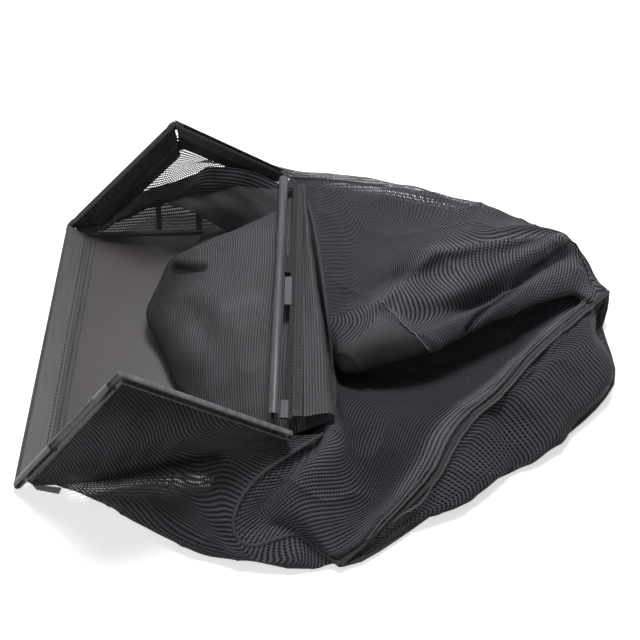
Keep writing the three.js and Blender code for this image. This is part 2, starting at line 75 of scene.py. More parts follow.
# Curves and surfaces
def catmull(points, t):
    """Centripetal Catmull-Rom through points, even in their index: between two points the curve is the
    cubic whose end slopes come from the square roots of the distances to the neighbours."""
    p = np.asarray(points, float)
    p = np.concatenate([2 * p[:1] - p[1:2], p, 2 * p[-1:] - p[-2:-1]])
    x = np.clip(np.asarray(t, float), 0, 1) * (len(p) - 3)
    k = np.minimum(x.astype(int), len(p) - 4)
    w = (x - k).reshape((-1,) + (1,) * (p.ndim - 1))
    a, b, c, d = p[k], p[k + 1], p[k + 2], p[k + 3]
    gap = lambda m, n: np.maximum(((m - n) ** 2).sum(-1, keepdims=True) ** 0.25, 1e-4)
    ab, bc, cd = gap(a, b), gap(b, c), gap(c, d)
    s1 = ((b - a) / ab - (c - a) / (ab + bc) + (c - b) / bc) * bc
    s2 = ((c - b) / bc - (d - b) / (bc + cd) + (d - c) / cd) * bc
    return b + s1 * w + (3 * (c - b) - 2 * s1 - s2) * w**2 + (2 * (b - c) + s1 + s2) * w**3


def smooth(t):
    """Three t squared less two t cubed, held between 0 and 1."""
    t = np.clip(t, 0, 1)
    return t * t * (3 - 2 * t)


def whole(curve, a, b):
    """A row of a loft that is one of the seams or edges from end to end."""
    return a, b, curve, True


def loft(rows, start, end, nu, nv):
    """A sheet through guide curves: each row runs from a point on one seam, through its own points, to a
    point on another seam, and the sheet is the Catmull-Rom curve across the rows. Its two ends are then
    eased onto the seams themselves."""
    u = np.linspace(0, 1, nu)
    v = np.linspace(0, 1, nv)
    guides = []
    for a, b, via, *full in rows:
        points = via if full else [catmull(start, [a])[0], *via, catmull(end, [b])[0]]
        guides.append(catmull(points, u))
    sheet = catmull(np.stack(guides), v)
    knots = np.linspace(0, 1, len(rows))
    first = catmull(start, np.interp(v, knots, [row[0] for row in rows]))
    last = catmull(end, np.interp(v, knots, [row[1] for row in rows]))
    near = smooth(1 - 4 * u)[None, :, None]
    far = smooth(4 * u - 3)[None, :, None]
    return sheet + near * (first - sheet[:, 0])[:, None] + far * (last - sheet[:, -1])[:, None]


def lengths(grid):
    """Two surface coordinates in millimetres: the arc length along each row and along each column."""
    along = np.zeros(grid.shape[:2])
    along[:, 1:] = np.linalg.norm(np.diff(grid, axis=1), axis=2).cumsum(1)
    across = np.zeros(grid.shape[:2])
    across[1:] = np.linalg.norm(np.diff(grid, axis=0), axis=2).cumsum(0)
    return along, across


def averaged(field, reach):
    """The mean of each number and of its neighbours down the column, as far as the reach, taken twice.
    Past its ends the field goes on at the slope it has there."""
    for _ in range(2):
        padded = np.pad(field, ((reach + 1, reach), (0, 0)), "reflect", reflect_type="odd")
        total = np.cumsum(padded, axis=0)
        field = (total[2 * reach + 1:] - total[:-2 * reach - 1]) / (2 * reach + 1)
    return field


def weave_lines(grid):
    """Where the knit's lines run: the distances in millimetres from the sheet's last column and from its
    first row, averaged over their neighbours so that the lines don't curl round a fold."""
    along, across = lengths(grid)
    nv, nu = along.shape
    return averaged(along[:, -1:] - along, nv // 6), averaged(across.T, nu // 5).T


def normals(grid):
    """Unit cross product of the two central differences of a grid."""
    n = np.cross(np.gradient(grid, axis=1), np.gradient(grid, axis=0))
    return n / np.maximum(np.linalg.norm(n, axis=2, keepdims=True), 1e-9)


def waves(x, y, size, seed):
    """Soft random relief between about -1 and 1: the mean of nine plane waves of mixed headings whose
    lengths lie round the given size."""
    pick = np.random.default_rng(seed)
    ranges = ((0, np.pi), (0.7, 1.6), (0, 6.3))
    headings, stretches, phases = (pick.uniform(low, high, 9) for low, high in ranges)
    total = np.zeros_like(x)
    for heading, stretch, phase in zip(headings, stretches, phases):
        total += np.sin(2 * np.pi * (x * np.cos(heading) + y * np.sin(heading)) / (size * stretch) + phase)
    return total / 4.5


def creases(x, y, size, seed):
    """Narrow raised creases: one less the size of a soft relief, to the fifth power."""
    return np.clip(1 - np.abs(waves(x, y, size, seed)), 0, 1) ** 5


def puckers(along, edge, pitch, reach, seed):
    """Gathers at a seam: ripples along it, uneven in spacing, that fade out over the reach."""
    drift = waves(along, edge * 0, pitch * 7, seed)
    return np.sin(2 * np.pi * along / pitch + 2.5 * drift) * np.exp(-edge / reach)


def bell(distance, middle, width):
    """A hump that is 1 in the middle and falls off as the exponential of the square."""
    return np.exp(-(((distance - middle) / width) ** 2))


def to_frame(points):
    """From millimetres at the lip's near end to metres in the frame."""
    return np.asarray(points, float) * MM + CORNER


# Meshes
def make_object(name, verts, faces, material, uv=None, values=None):
    """A mesh object at the origin from arrays of points in the frame and of faces with equal corners. uv
    has a pair for every corner of every face, and values are named numbers, one for every point."""
    mesh = bpy.data.meshes.new(name)
    faces = np.asarray(faces)
    mesh.vertices.add(len(verts))
    mesh.vertices.foreach_set("co", np.asarray(verts, float).ravel())
    mesh.loops.add(faces.size)
    mesh.loops.foreach_set("vertex_index", faces.ravel())
    mesh.polygons.add(len(faces))
    mesh.polygons.foreach_set("loop_start", np.arange(len(faces)) * faces.shape[1])
    mesh.polygons.foreach_set("use_smooth", np.ones(len(faces), bool))
    if uv is not None:
        layer = mesh.uv_layers.new(name="surface")
        layer.data.foreach_set("uv", np.asarray(uv, float).ravel())
    for key, numbers in (values or {}).items():
        layer = mesh.attributes.new(key, "FLOAT", "POINT")
        layer.data.foreach_set("value", np.asarray(numbers, np.float32).ravel())
    mesh.materials.append(material)
    mesh.update(calc_edges=True)
    mesh.validate()
    obj = bpy.data.objects.new(name, mesh)
    bpy.context.scene.collection.objects.link(obj)
    return obj


def grid_faces(rows, cols, closed=False):
    """Quads of a grid of points, row by row. A closed grid joins its last column to its first."""
    i, j = np.meshgrid(np.arange(rows - 1), np.arange(cols if closed else cols - 1), indexing="ij")
    k = (j + 1) % cols
    return np.stack([i * cols + j, i * cols + k, (i + 1) * cols + k, (i + 1) * cols + j], -1).reshape(-1, 4)


def cloth_object(name, grid, pattern, material, flip=False, turned=None, see=0.0, tone=1.0, patch=None):
    """A sheet's mesh, turned to face outwards. pattern holds the distances in millimetres across the
    knit's rows and along them, and where turned is true the rows run the other way. see says how far
    light comes through the holes, and tone is painted light and shade: a factor on the yarn's
    brightness, below 1 for shade and above it for highlight. patch is a region and its own cloth."""
    faces = grid_faces(*grid.shape[:2])
    if flip:
        faces = faces[:, ::-1]
    rows, run = (part.ravel()[faces] for part in pattern)
    other = np.zeros_like(rows, bool) if turned is None else np.repeat(turned.ravel()[faces[:, :1]], 4, 1)
    uv = np.stack([np.where(other, rows, run), np.where(other, run, rows)], -1)
    values = {"see": np.broadcast_to(see, grid.shape[:2]), "tone": np.broadcast_to(tone, grid.shape[:2])}
    above = np.maximum(grid, [-np.inf, -np.inf, FLOOR_LIFT + 0.1])
    obj = make_object(name, to_frame(above.reshape(-1, 3)), faces, material, uv, values)
    if patch is not None:
        region, cloth = patch
        obj.data.materials.append(cloth)
        obj.data.polygons.foreach_set("material_index", region.ravel()[faces[:, 0]].astype(int))
    return obj


def inside(x, y, outline):
    """Whether points lie in a polygon: how often a line to the right of each crosses its sides is odd."""
    odd = np.zeros(np.shape(x), bool)
    for (x0, y0), (x1, y1) in zip(outline, outline[1:] + outline[:1]):
        crosses = (y0 > y) != (y1 > y)
        odd ^= crosses & (x < (x1 - x0) * (y - y0) / (y1 - y0 + 1e-12) + x0)
    return odd


def beside_line(grid, line, width):
    """How near each point of a grid lies to a broken line in space: the exponential of the square of the
    distance to its nearest stretch over the width."""
    best = np.full(grid.shape[:2], np.inf)
    line = np.asarray(line, float)
    for a, b in zip(line[:-1], line[1:]):
        t = np.clip(((grid - a) @ (b - a)) / ((b - a) @ (b - a)), 0, 1)
        best = np.minimum(best, np.linalg.norm(grid - a - t[..., None] * (b - a), axis=2))
    return np.exp(-((best / width) ** 2))


def circle(sides, radius, first, second):
    """Points round each of many circles: the radius times the cosine of the angle along the first direction,
    and times its sine along the second."""
    angle = np.linspace(0, 2 * np.pi, sides, endpoint=False)[None, :, None]
    return radius * (np.cos(angle) * first[:, None] + np.sin(angle) * second[:, None])


def spindles(name, starts, ends, radius, material, sides=6):
    """Many short rods in one mesh, each a six-sided rod with pointed ends: for every rod two poles, and a
    ring at a sixth and at five sixths of the way between them."""
    starts, ends = np.asarray(starts, float), np.asarray(ends, float)
    axis = ends - starts
    axis /= np.linalg.norm(axis, axis=1, keepdims=True)
    pole = np.where(np.abs(axis[:, 2:]) > 0.9, [[1.0, 0, 0]], [[0, 0, 1.0]])
    side = np.cross(axis, pole)
    side /= np.linalg.norm(side, axis=1, keepdims=True)
    up = np.cross(side, axis)
    ring = circle(sides, radius, side, up)
    low = (starts + (ends - starts) / 6)[:, None] + ring
    high = (ends - (ends - starts) / 6)[:, None] + ring
    verts = np.concatenate([starts[:, None], low, high, ends[:, None]], 1)
    k = np.arange(sides)
    n = (k + 1) % sides
    cap = np.stack([k * 0, 1 + n, 1 + k], -1)
    wall = [np.stack([1 + k, 1 + n, 1 + sides + n], -1), np.stack([1 + k, 1 + sides + n, 1 + sides + k], -1)]
    tail = np.stack([k * 0 + 2 * sides + 1, 1 + sides + k, 1 + sides + n], -1)
    one = np.concatenate([cap, *wall, tail])
    faces = (one[None] + (np.arange(len(starts)) * verts.shape[1])[:, None, None]).reshape(-1, 3)
    return make_object(name, to_frame(verts.reshape(-1, 3)), faces, material)


def tab(name, corners, thickness, material):
    """A thin plate with four corners, half its thickness to each side along its normal."""
    corners = np.asarray(corners, float)
    n = np.cross(corners[2] - corners[0], corners[3] - corners[1])
    n *= thickness / 2 / np.linalg.norm(n)
    faces = [[0, 1, 2, 3], [7, 6, 5, 4], [0, 4, 5, 1], [1, 5, 6, 2], [2, 6, 7, 3], [3, 7, 4, 0]]
    obj = make_object(name, to_frame(np.concatenate([corners + n, corners - n])), faces, material)
    obj.data.polygons.foreach_set("use_smooth", np.zeros(6, bool))
    return obj


def evenly(path, pitch):
    """Points along a path, one pitch apart in arc length."""
    path = np.asarray(path, float)
    run = np.concatenate([[0], np.linalg.norm(np.diff(path, axis=0), axis=1).cumsum()])
    at = np.arange(0, run[-1], pitch)
    return np.stack([np.interp(at, run, path[:, k]) for k in range(3)], -1)


def tube(name, path, radius, sides, material):
    """A round cord along a path: rings across its direction, with a pole closing each end."""
    path = np.asarray(path, float)
    ahead = np.gradient(path, axis=0)
    ahead /= np.linalg.norm(ahead, axis=1, keepdims=True)
    side = np.cross(ahead, [0.0, 0.0, 1.0])
    side /= np.maximum(np.linalg.norm(side, axis=1, keepdims=True), 1e-6)
    up = np.cross(side, ahead)
    rings = (path[:, None] + circle(sides, radius, side, up)).reshape(-1, 3)
    poles = [path[:1] - ahead[:1] * radius / 2, path[-1:] + ahead[-1:] * radius / 2]
    verts = np.concatenate([rings, *poles])
    quads = grid_faces(len(path), sides, closed=True)[:, ::-1]
    k = np.arange(sides)
    n = (k + 1) % sides
    last = (len(path) - 1) * sides
    body = np.concatenate([quads[:, [0, 1, 2]], quads[:, [0, 2, 3]]])
    first = np.stack([k * 0 + len(path) * sides, k, n], -1)
    final = np.stack([k * 0 + len(path) * sides + 1, last + n, last + k], -1)
    return make_object(name, to_frame(verts), np.concatenate([body, first, final]), material)


# Seams and guides, the same as the CAD's
FOOT = (661, 199)
JUNCTION = (293, 441, 47)
REAR_CORNER = (668, 224, 40)


def on_base(points):
    return [(x, y, BASE_Z) for x, y in points]


BASE_NEAR = on_base([(15, 0), (60, 1), (120, 6), (184, 12), (228, -2), (272, -40), (310, -84), TIP])
BASE_REAR = on_base([
    TIP, (352, -101), (394, -75), (439, -43), (485, -14), (531, 9), (581, 40), (636, 88), (659, 122), FOOT,
])
BASE_FAR = on_base([(30, 386), (110, 386), (200, 388), (300, 396), (430, 374), (560, 306), FOOT])
SEAM_NEAR = [
    (320, 12, 62), (286, -11, 61), (257, -30, 56), (238, -48, 46), (228, -68, 33), (231, -82, 21),
    (246, -88, 15), (268, -82, 16), (291, -77, 17), (313, -93, 10), (332, -106, BASE_Z + 3),
]
SEAM_REAR = [
    (332, -106, BASE_Z + 3), (398, -56, 22), (434, -23, 30), (459, 17, 38), (479, 39, 45), (511, 64, 51),
    (546, 102, 57), (610, 166, 53), (668, 224, 40),
]
SEAM_FAR = [
    JUNCTION, (343, 414, 64), (428, 380, 75), (480, 354, 78), (530, 336, 72), (600, 300, 58), REAR_CORNER,
]
SEAM_FOOT = [REAR_CORNER, (668, 215, 22), (FOOT[0], FOOT[1], BASE_Z)]
SEAM_FRONT = [
    (327, 30, 57), (333, 52, 56), (335, 84, 49), (335, 108, 45), (334, 132, 54), (331, 164, 71),
    (327, 220, 78), (321, 300, 76), (312, 372, 66), JUNCTION,
]

# The wire's path through each channel, and the way its leg points
LIP_NEAR, LIP_FAR = np.array([0, 0, GROUND + HOOK]), np.array([0, 400, GROUND + HOOK])
TOP_NEAR, TOP_FAR = np.array([131.0, 0, 177]), np.array([155.0, 400, 167])
LIP = (LIP_NEAR, LIP_FAR, np.array([1, 0, -0.4]))
LIP_HEM = (LIP_NEAR, LIP_FAR, np.array([1.0, 0, 0]))
NEAR_FRONT = (TOP_NEAR, LIP_NEAR, np.array([1, 0, -0.6]))
NEAR_TOP = (np.array([286.0, 0, 77]), TOP_NEAR, np.array([-0.5, 0, -1]))
FAR_FRONT = (LIP_FAR, TOP_FAR, np.array([1, 0.06, -0.9]))
FAR_TOP = (TOP_FAR, np.array([287.0, 438, 54]), np.array([-0.6, 0.25, -1]))
REAR = (np.array([283.0, 402, 78]), np.array([269.5, 19, 86]), np.array([1, 0, -0.05]))
# The cloth's edge under a leg: how far below its face the middle of the cloth lies, and how far out
UNDER = -HOOK + LEG_WALL + 2 * SEAM_GAP + CLOTH / 2
UNDER_LEG = HOOK + 4
TO_CLOTH = np.array([1, 0, -UNDER_LEG - 4])


def beside(channel, s, a, b):
    """Points beside a channel: s along the wire, a out along the leg, b towards the face."""
    start, stop, leg = channel
    along = (stop - start) / np.linalg.norm(stop - start)
    leg = leg - along * leg.dot(along)
    leg = leg / np.linalg.norm(leg)
    s = np.asarray(s, float)[..., None]
    return start + along * s + leg * np.asarray(a, float)[..., None] + np.cross(along, leg) * b


def under_top(channel, shares):
    """The cloth's edge under a leg, at shares of the channel's length."""
    reach = np.linalg.norm(channel[1] - channel[0])
    return [beside(channel, share * reach, UNDER_LEG, UNDER) for share in shares]


def near_wall(nu, nv):
    corner = TOP_NEAR + TO_CLOTH - [0, UNDER, 0]
    top = [corner, *under_top(NEAR_TOP, (0.5, 0.08)), SEAM_NEAR[0]]
    rows = [
        whole(BASE_NEAR, 0, 1),
        (0.03, 1, [
            (64, -8, 3.4), (92, -24, 3.4), (128, -50, 3.4), (190, -80, 3.4), (260, -96, 3.4),
            (308, -102, 3.6),
        ]),
        (0.06, 0.85, [(70, -20, 14), (130, -46, 22), (190, -74, 20), (240, -96, 12), (290, -98, 11)]),
        (0.09, 0.7, [(72, -17, 18), (133, -38, 28), (186, -64, 29), (222, -85, 19), (248, -93, 13)]),
        (0.13, 0.46, [(78, -12, 24), (138, -26, 37), (185, -42, 44), (212, -60, 38)]),
        (0.2, 0.3, [(85, -4, 30), (140, -2, 42), (190, -2, 52), (222, -12, 57)]),
        (0.45, 0.12, [(120, -2, 70), (165, -2, 78), (215, -3, 74), (255, -8, 68)]),
        whole(top, 1, 0),
    ]
    return loft(rows, [BASE_NEAR[0], corner], SEAM_NEAR, nu, nv)


def rear_wall(nu, nv):
    rows = [
        whole(BASE_REAR, 0, 1),
        (0, 0.6, [
            (398, -66, 14), (470, -18, 22), (520, 18, 16), (580, 52, 26), (640, 100, 30), (668, 150, 26),
        ]),
        (0, 0.3, [
            (402, -58, 20), (462, 2, 32), (510, 46, 40), (560, 88, 50), (625, 140, 46), (668, 185, 38),
        ]),
        whole(SEAM_REAR, 0, 0),
    ]
    return loft(rows, [(332, -106, BASE_Z), (332, -106, BASE_Z + 3)], SEAM_FOOT, nu, nv)


def far_wall(nu, nv):
    corner = TOP_FAR + TO_CLOTH + [0, UNDER, 0]
    top = [corner, *under_top(FAR_TOP, (0.34, 0.7, 0.955)), *catmull(SEAM_FAR, np.linspace(0, 1, 7))]
    rows = [
        whole(BASE_FAR, 0, 1),
        (0.14, 0.8, [(106, 416, 14), (176, 426, 20), (300, 428, 22), (430, 394, 26), (560, 322, 22)]),
        (0.26, 0.65, [(110, 430, 24), (178, 436, 38), (304, 436, 34), (430, 400, 36), (560, 325, 32)]),
        (0.34, 0.5, [(106, 414, 36), (176, 418, 60), (304, 430, 43), (430, 400, 48), (560, 328, 40)]),
        (0.42, 0.4, [(112, 420, 50), (184, 428, 74), (300, 440, 50), (430, 402, 56), (560, 331, 48)]),
        (0.75, 0.25, [(150, 422, 88), (215, 440, 84), (300, 448, 54), (430, 402, 66), (560, 334, 56)]),
        whole(top, 1, 0),
    ]
    return loft(rows, [BASE_FAR[0], corner], SEAM_FOOT, nu, nv)


def top_sheet(nu, nv):
    rows = [
        whole(SEAM_NEAR, 0, 0),
        (0.03, 0.01, [
            (304, -12, 54), (272, -40, 42), (254, -56, 30), (258, -67, 22), (277, -68, 22), (302, -80, 20),
            (322, -98, 12),
        ]),
        (0.06, 0.03, [(318, -6, 68), (294, -36, 60), (294, -58, 46), (308, -80, 31), (326, -99, 16)]),
        (0.12, 0.1, [(338, -8, 70), (345, -36, 54), (360, -58, 34), (372, -66, 25)]),
        (0.2, 0.25, [(345, 30, 64), (378, 8, 52), (405, -8, 40)]),
        (0.26, 0.42, [(348, 66, 54), (390, 56, 46), (430, 42, 42)]),
        (0.29, 0.7, [(350, 92, 43), (395, 90, 38), (461, 88, 38), (512, 92, 46)]),
        (0.32, 0.84, [(352, 110, 36), (395, 112, 31), (455, 122, 31), (530, 150, 35), (584, 176, 42)]),
        (0.35, 0.92, [
            (352, 124, 34), (395, 132, 29), (450, 150, 30), (520, 184, 33), (575, 208, 36), (630, 220, 40),
        ]),
        (0.39, 0.94, [
            (350, 112, 48), (390, 118, 44), (445, 136, 48), (505, 168, 50), (566, 196, 50), (622, 214, 48),
        ]),
        (0.42, 0.95, [
            (345, 92, 64), (385, 97, 65), (439, 112, 70), (500, 146, 73), (562, 178, 70), (620, 206, 60),
        ]),
        (0.46, 0.96, [
            (350, 106, 76), (394, 112, 82), (446, 128, 86), (510, 164, 86), (570, 200, 82), (626, 232, 70),
        ]),
        (0.5, 0.965, [
            (355, 124, 82), (398, 138, 88), (452, 152, 86), (503, 178, 73), (548, 204, 71), (592, 238, 70),
            (632, 262, 64),
        ]),
        (0.54, 0.97, [
            (362, 142, 87), (392, 166, 95), (444, 164, 99), (490, 180, 100), (536, 212, 100), (582, 244, 96),
            (628, 276, 76),
        ]),
        (0.6, 0.98, [
            (354, 176, 83), (398, 192, 97), (446, 196, 104), (505, 210, 108), (570, 252, 99), (630, 278, 73),
        ]),
        (0.66, 0.985, [
            (360, 212, 86), (410, 212, 107), (455, 222, 121), (506, 240, 121), (572, 270, 106),
            (634, 276, 71),
        ]),
        (0.76, 0.99, [(370, 272, 86), (440, 282, 104), (510, 288, 108), (580, 290, 90), (636, 276, 64)]),
        (0.88, 0.995, [(360, 346, 84), (430, 346, 102), (500, 330, 100), (570, 308, 84), (640, 268, 56)]),
        whole(SEAM_FAR, 1, 1),
    ]
    return loft(rows, SEAM_FRONT, SEAM_REAR, nu, nv)


FOLD_NEAR = [
    (300, 22, 79), (326, 24, 81), (333, 26, 72), (324, 28, 60), (290, 20, 52), (245, 14, 30), (212, 13, 18),
    (188, 14, 11), (192, 14, 6.5), (220, 14, 7), (270, 15, 14), (306, 22, 32), (327, 30, 57),
]
FOLD_FAR = [
    (306, 396, 71), (308, 396, 75), (311, 396, 68), (306, 397, 62), (288, 399, 62), (252, 400, 50),
    (212, 392, 28), (176, 376, 11), (178, 378, 6), (222, 388, 10), (266, 402, 24), (288, 422, 38), JUNCTION,
]


def ribbed_sheet(nu, nv):
    middle = [
        [(303, 150, 77), (305, 280, 74)],
        [(320, 150, 84), (312, 290, 80)],
        [(326, 150, 74), (316, 290, 71)],
        [(316, 150, 62), (308, 290, 61)],
        [(284, 110, 56), (286, 230, 60), (286, 340, 62), (286, 372, 60)],
        [(240, 90, 42), (237, 160, 57), (238, 240, 66), (245, 310, 62), (256, 346, 60), (252, 366, 46)],
        [(202, 90, 24), (190, 150, 42), (186, 226, 52), (190, 286, 50), (200, 328, 48), (204, 348, 30)],
        [(164, 104, 10), (141, 166, 17), (118, 222, 24), (126, 262, 26), (142, 300, 36), (158, 324, 16)],
        [(167, 106, 5.5), (146, 168, 8), (123, 224, 13), (130, 262, 14), (148, 300, 18), (162, 326, 8)],
        [(212, 104, 6), (192, 180, 12), (184, 262, 16), (196, 320, 14)],
        [(266, 100, 14), (262, 190, 26), (260, 284, 32), (262, 350, 26)],
        [(308, 100, 34), (306, 190, 42), (302, 290, 44), (296, 370, 40)],
    ]
    rows = [(k / len(middle), k / len(middle), via) for k, via in enumerate(middle)]
    rows.append(whole(SEAM_FRONT, 1, 1))
    return loft(rows, FOLD_NEAR, FOLD_FAR, nu, nv)


# Materials: patterns on cloth are sized in millimetres on the UV map "surface", and those on the other
# pieces in metres on Object coordinates
def linear(hex_colour):
    """sRGB hex to linear: below 0.04045 a twelfth and a bit, above it the 2.4 power."""
    parts = [int(hex_colour[k:k + 2], 16) / 255 for k in (1, 3, 5)]
    return [c / 12.92 if c <= 0.04045 else ((c + 0.055) / 1.055) ** 2.4 for c in parts] + [1.0]


def put(tree, kind, links=None, **settings):
    """Adds a node: links maps its inputs to values or to other nodes' outputs."""
    node = tree.nodes.new("ShaderNode" + kind)
    for name, value in settings.items():
        setattr(node, name, value)
    for key, value in (links or {}).items():
        if isinstance(value, bpy.types.NodeSocket):
            tree.links.new(value, node.inputs[key])
        else:
            node.inputs[key].default_value = value
    return node


def math_node(tree, operation, *values):
    """One step of arithmetic on values or outputs."""
    return put(tree, "Math", dict(enumerate(values)), operation=operation).outputs[0]


def ramp(tree, value, low, high, to_low=0.0, to_high=1.0):
    links = {"Value": value, "From Min": low, "From Max": high, "To Min": to_low, "To Max": to_high}
    return put(tree, "MapRange", links, interpolation_type="SMOOTHSTEP").outputs[0]


def blend(tree, factor, low, high):
    """Between two colours, given as hex or as another node's output."""
    low, high = (linear(colour) if isinstance(colour, str) else colour for colour in (low, high))
    links = {"Factor": factor, "A": low, "B": high}
    return put(tree, "Mix", links, data_type="RGBA").outputs["Result"]


def noise(tree, vector, scale, detail=2.0):
    """Soft noise, its features scale to the unit of the coordinates."""
    return put(tree, "TexNoise", {"Vector": vector, "Scale": scale, "Detail": detail}).outputs[0]


def surface_place(tree):
    return put(tree, "UVMap", uv_map="surface").outputs[0]


def object_place(tree):
    return put(tree, "TexCoord").outputs["Object"]


def point_value(tree, name):
    return put(tree, "Attribute", attribute_name=name).outputs["Fac"]


def start_material(name, roughness, **sockets):
    material = bpy.data.materials.new(name)
    material.use_nodes = True
    tree = material.node_tree
    shader = tree.nodes["Principled BSDF"]
    shader.inputs["Roughness"].default_value = roughness
    for key, value in sockets.items():
        shader.inputs[key.replace("_", " ")].default_value = value
    return material, tree, shader


def finish_material(tree, shader, colour, height, depth_mm, strength):
    bump = put(tree, "Bump", {"Height": height, "Distance": depth_mm * MM, "Strength": strength})
    tree.links.new(colour, shader.inputs["Base Color"])
    tree.links.new(bump.outputs[0], shader.inputs["Normal"])


# The knit's holes: their radius as a share of their spacing, how far in and out of it the thread fades,
# how far out light comes through, and how much narrower they are across the rows
HOLE, HOLE_INNER, HOLE_OUTER, HOLE_SEEN, HOLE_NARROW = 0.27, 0.1, 0.14, 0.05, 1.1
ROW_DRIFT, DRIFT_SCALE, WORN_SCALE = 0.4, 0.02, 0.7


def knitted_mesh(name, low, high, wale_mm, course_mm):
    """Warp-knitted polyester mesh: rows of small staggered holes between raised wales. The eye sees ribs
    from afar and pinholes against the light. Wale and course are the spacings of the holes, which are
    dark where the bag behind them is."""
    material, tree, shader = start_material(name, 0.6, Specular_IOR_Level=0.06)
    surface = surface_place(tree)
    axes = put(tree, "SeparateXYZ", {0: surface})
    drift = math_node(tree, "MULTIPLY", noise(tree, surface, DRIFT_SCALE, 1.0), ROW_DRIFT)
    row = math_node(tree, "MULTIPLY_ADD", axes.outputs[1], 1 / wale_mm, drift)
    odd = math_node(tree, "MULTIPLY", math_node(tree, "FLOOR", row), 0.5)
    column = math_node(tree, "MULTIPLY_ADD", axes.outputs[0], 1 / course_mm, odd)
    x = math_node(tree, "SUBTRACT", math_node(tree, "FRACT", column), 0.5)
    y = math_node(tree, "SUBTRACT", math_node(tree, "FRACT", row), 0.5)
    wide = math_node(tree, "MULTIPLY", y, HOLE_NARROW)
    spot = put(tree, "CombineXYZ", {0: x, 1: wide}).outputs[0]
    reach = put(tree, "VectorMath", {0: spot}, operation="LENGTH").outputs["Value"]
    thread = ramp(tree, reach, HOLE - HOLE_INNER, HOLE + HOLE_OUTER)
    rib = ramp(tree, math_node(tree, "ABSOLUTE", y), 0.0, 0.5, 0.5, 1.0)
    knit_height = math_node(tree, "MULTIPLY", rib, thread)
    worn = ramp(tree, noise(tree, surface, WORN_SCALE, 3.0), 0.2, 0.8, 0.7, 1.15)
    worn_knit = math_node(tree, "MULTIPLY", knit_height, worn)
    # Colour follows the knit's height: the holes and the dips along their rows are painted near-black as
    # shade of the bag behind them; worn varies the tone at random, and tone paints each piece's light and
    # shade
    light = math_node(tree, "MULTIPLY", worn_knit, point_value(tree, "tone"))
    finish_material(tree, shader, blend(tree, light, low, high), knit_height, 0.8, 1.0)
    hole = math_node(tree, "LESS_THAN", reach, HOLE + HOLE_SEEN)
    clear = math_node(tree, "MULTIPLY", hole, point_value(tree, "see"))
    tree.links.new(math_node(tree, "SUBTRACT", 1.0, clear), shader.inputs["Alpha"])
    return material


# A wave texture's scale for bands one unit apart, and the cross weave's spacing in millimetres
WAVE_SCALE = 2 * math.pi / 20
CROSS_WEAVE = 1.3


def ribbed_cloth(name, low, high, rib_mm):
    """Closely woven polyester with a fine rib: solid, with lines a few millimetres apart that run with the
    fold, and a short cross weave between them."""
    material, tree, shader = start_material(name, 0.55, Specular_IOR_Level=0.12)
    surface = surface_place(tree)
    rib_links = {"Vector": surface, "Scale": WAVE_SCALE / rib_mm, "Distortion": 0.3}
    ribs = put(tree, "TexWave", rib_links, bands_direction="Y")
    weave_links = {"Vector": surface, "Scale": WAVE_SCALE / CROSS_WEAVE, "Distortion": 1.0}
    weave = put(tree, "TexWave", weave_links, bands_direction="X")
    cloud = math_node(tree, "MULTIPLY", noise(tree, surface, 0.03, 3.0), 0.3)
    mix = math_node(tree, "MULTIPLY_ADD", weave.outputs[1], 0.25, ribs.outputs[1])
    shade = math_node(tree, "MULTIPLY_ADD", mix, 0.62, cloud)
    # Colour follows the ribs' height, so the dips between them are painted darker as shade; cloud varies
    # the tone at random, and the tone attribute paints each piece's light and shade
    light = math_node(tree, "MULTIPLY", shade, point_value(tree, "tone"))
    finish_material(tree, shader, blend(tree, light, low, high), mix, 0.5, 0.8)
    return material


def calendered_vinyl():
    """Calendered vinyl sheet: smooth and reddish dark grey, with faint clouding and a few specks."""
    material, tree, shader = start_material("calendered_vinyl", 0.5)
    place = object_place(tree)
    shade = blend(tree, noise(tree, place, 9.0, 4.0), "#2c2729", "#3a3436")
    speck = put(tree, "TexVoronoi", {"Vector": place, "Scale": 45.0}).outputs["Distance"]
    light = blend(tree, ramp(tree, speck, 0.02, 0.05, 0.3, 0.0), shade, "#a09a9a")
    finish_material(tree, shader, light, noise(tree, place, 700.0), 0.05, 0.4)
    return material


# Draw lines are fine across their length and long along it, here along Y and across Y. The flat leg starts
# to show at one distance from the wire's middle and shows in full at the other.
ALONG_Y, ACROSS_Y = (300.0, 20.0, 300.0), (20.0, 300.0, 20.0)
LEG_STARTS, LEG_FULL = 5 * MM, 6.5 * MM


def extruded_plastic(name, low, high, stretch, roughness=0.34, leg=None):
    """Extruded polypropylene: satin, with faint draw lines along its length and paler rubbed patches. leg
    is a channel whose flat leg is darker and duller than its round back."""
    material, tree, shader = start_material(name, roughness, Specular_IOR_Level=0.35)
    place = object_place(tree)
    drawn = put(tree, "Mapping", {"Vector": place, "Scale": stretch}).outputs[0]
    lines = noise(tree, drawn, 1.0, 3.0)
    strokes = math_node(tree, "MULTIPLY", lines, 0.85)
    tone = math_node(tree, "MULTIPLY_ADD", noise(tree, place, 35.0, 4.0), 0.15, strokes)
    colour = blend(tree, ramp(tree, tone, 0.2, 0.8), low, high)
    if leg is not None:
        start, stop, out = leg
        along = (stop - start) / np.linalg.norm(stop - start)
        out = out - along * out.dot(along)
        out = out / np.linalg.norm(out)
        reach = put(tree, "VectorMath", {0: place, 1: out}, operation="DOT_PRODUCT")
        past = math_node(tree, "SUBTRACT", reach.outputs["Value"], to_frame(start).dot(out))
        flat = ramp(tree, past, LEG_STARTS, LEG_FULL)
        colour = blend(tree, flat, colour, "#232326")
        tree.links.new(ramp(tree, flat, 0.0, 1.0, roughness, 0.85), shader.inputs["Roughness"])
    finish_material(tree, shader, colour, lines, 0.15, 0.5)
    return material


def woven_tape(name, low, high):
    """Woven polyester edge tape: a close twill that shows as a fine grain."""
    material, tree, shader = start_material(name, 0.7, Specular_IOR_Level=0.2)
    twill = noise(tree, object_place(tree), 900.0, 1.0)
    finish_material(tree, shader, blend(tree, twill, low, high), twill, 0.2, 0.6)
    return material


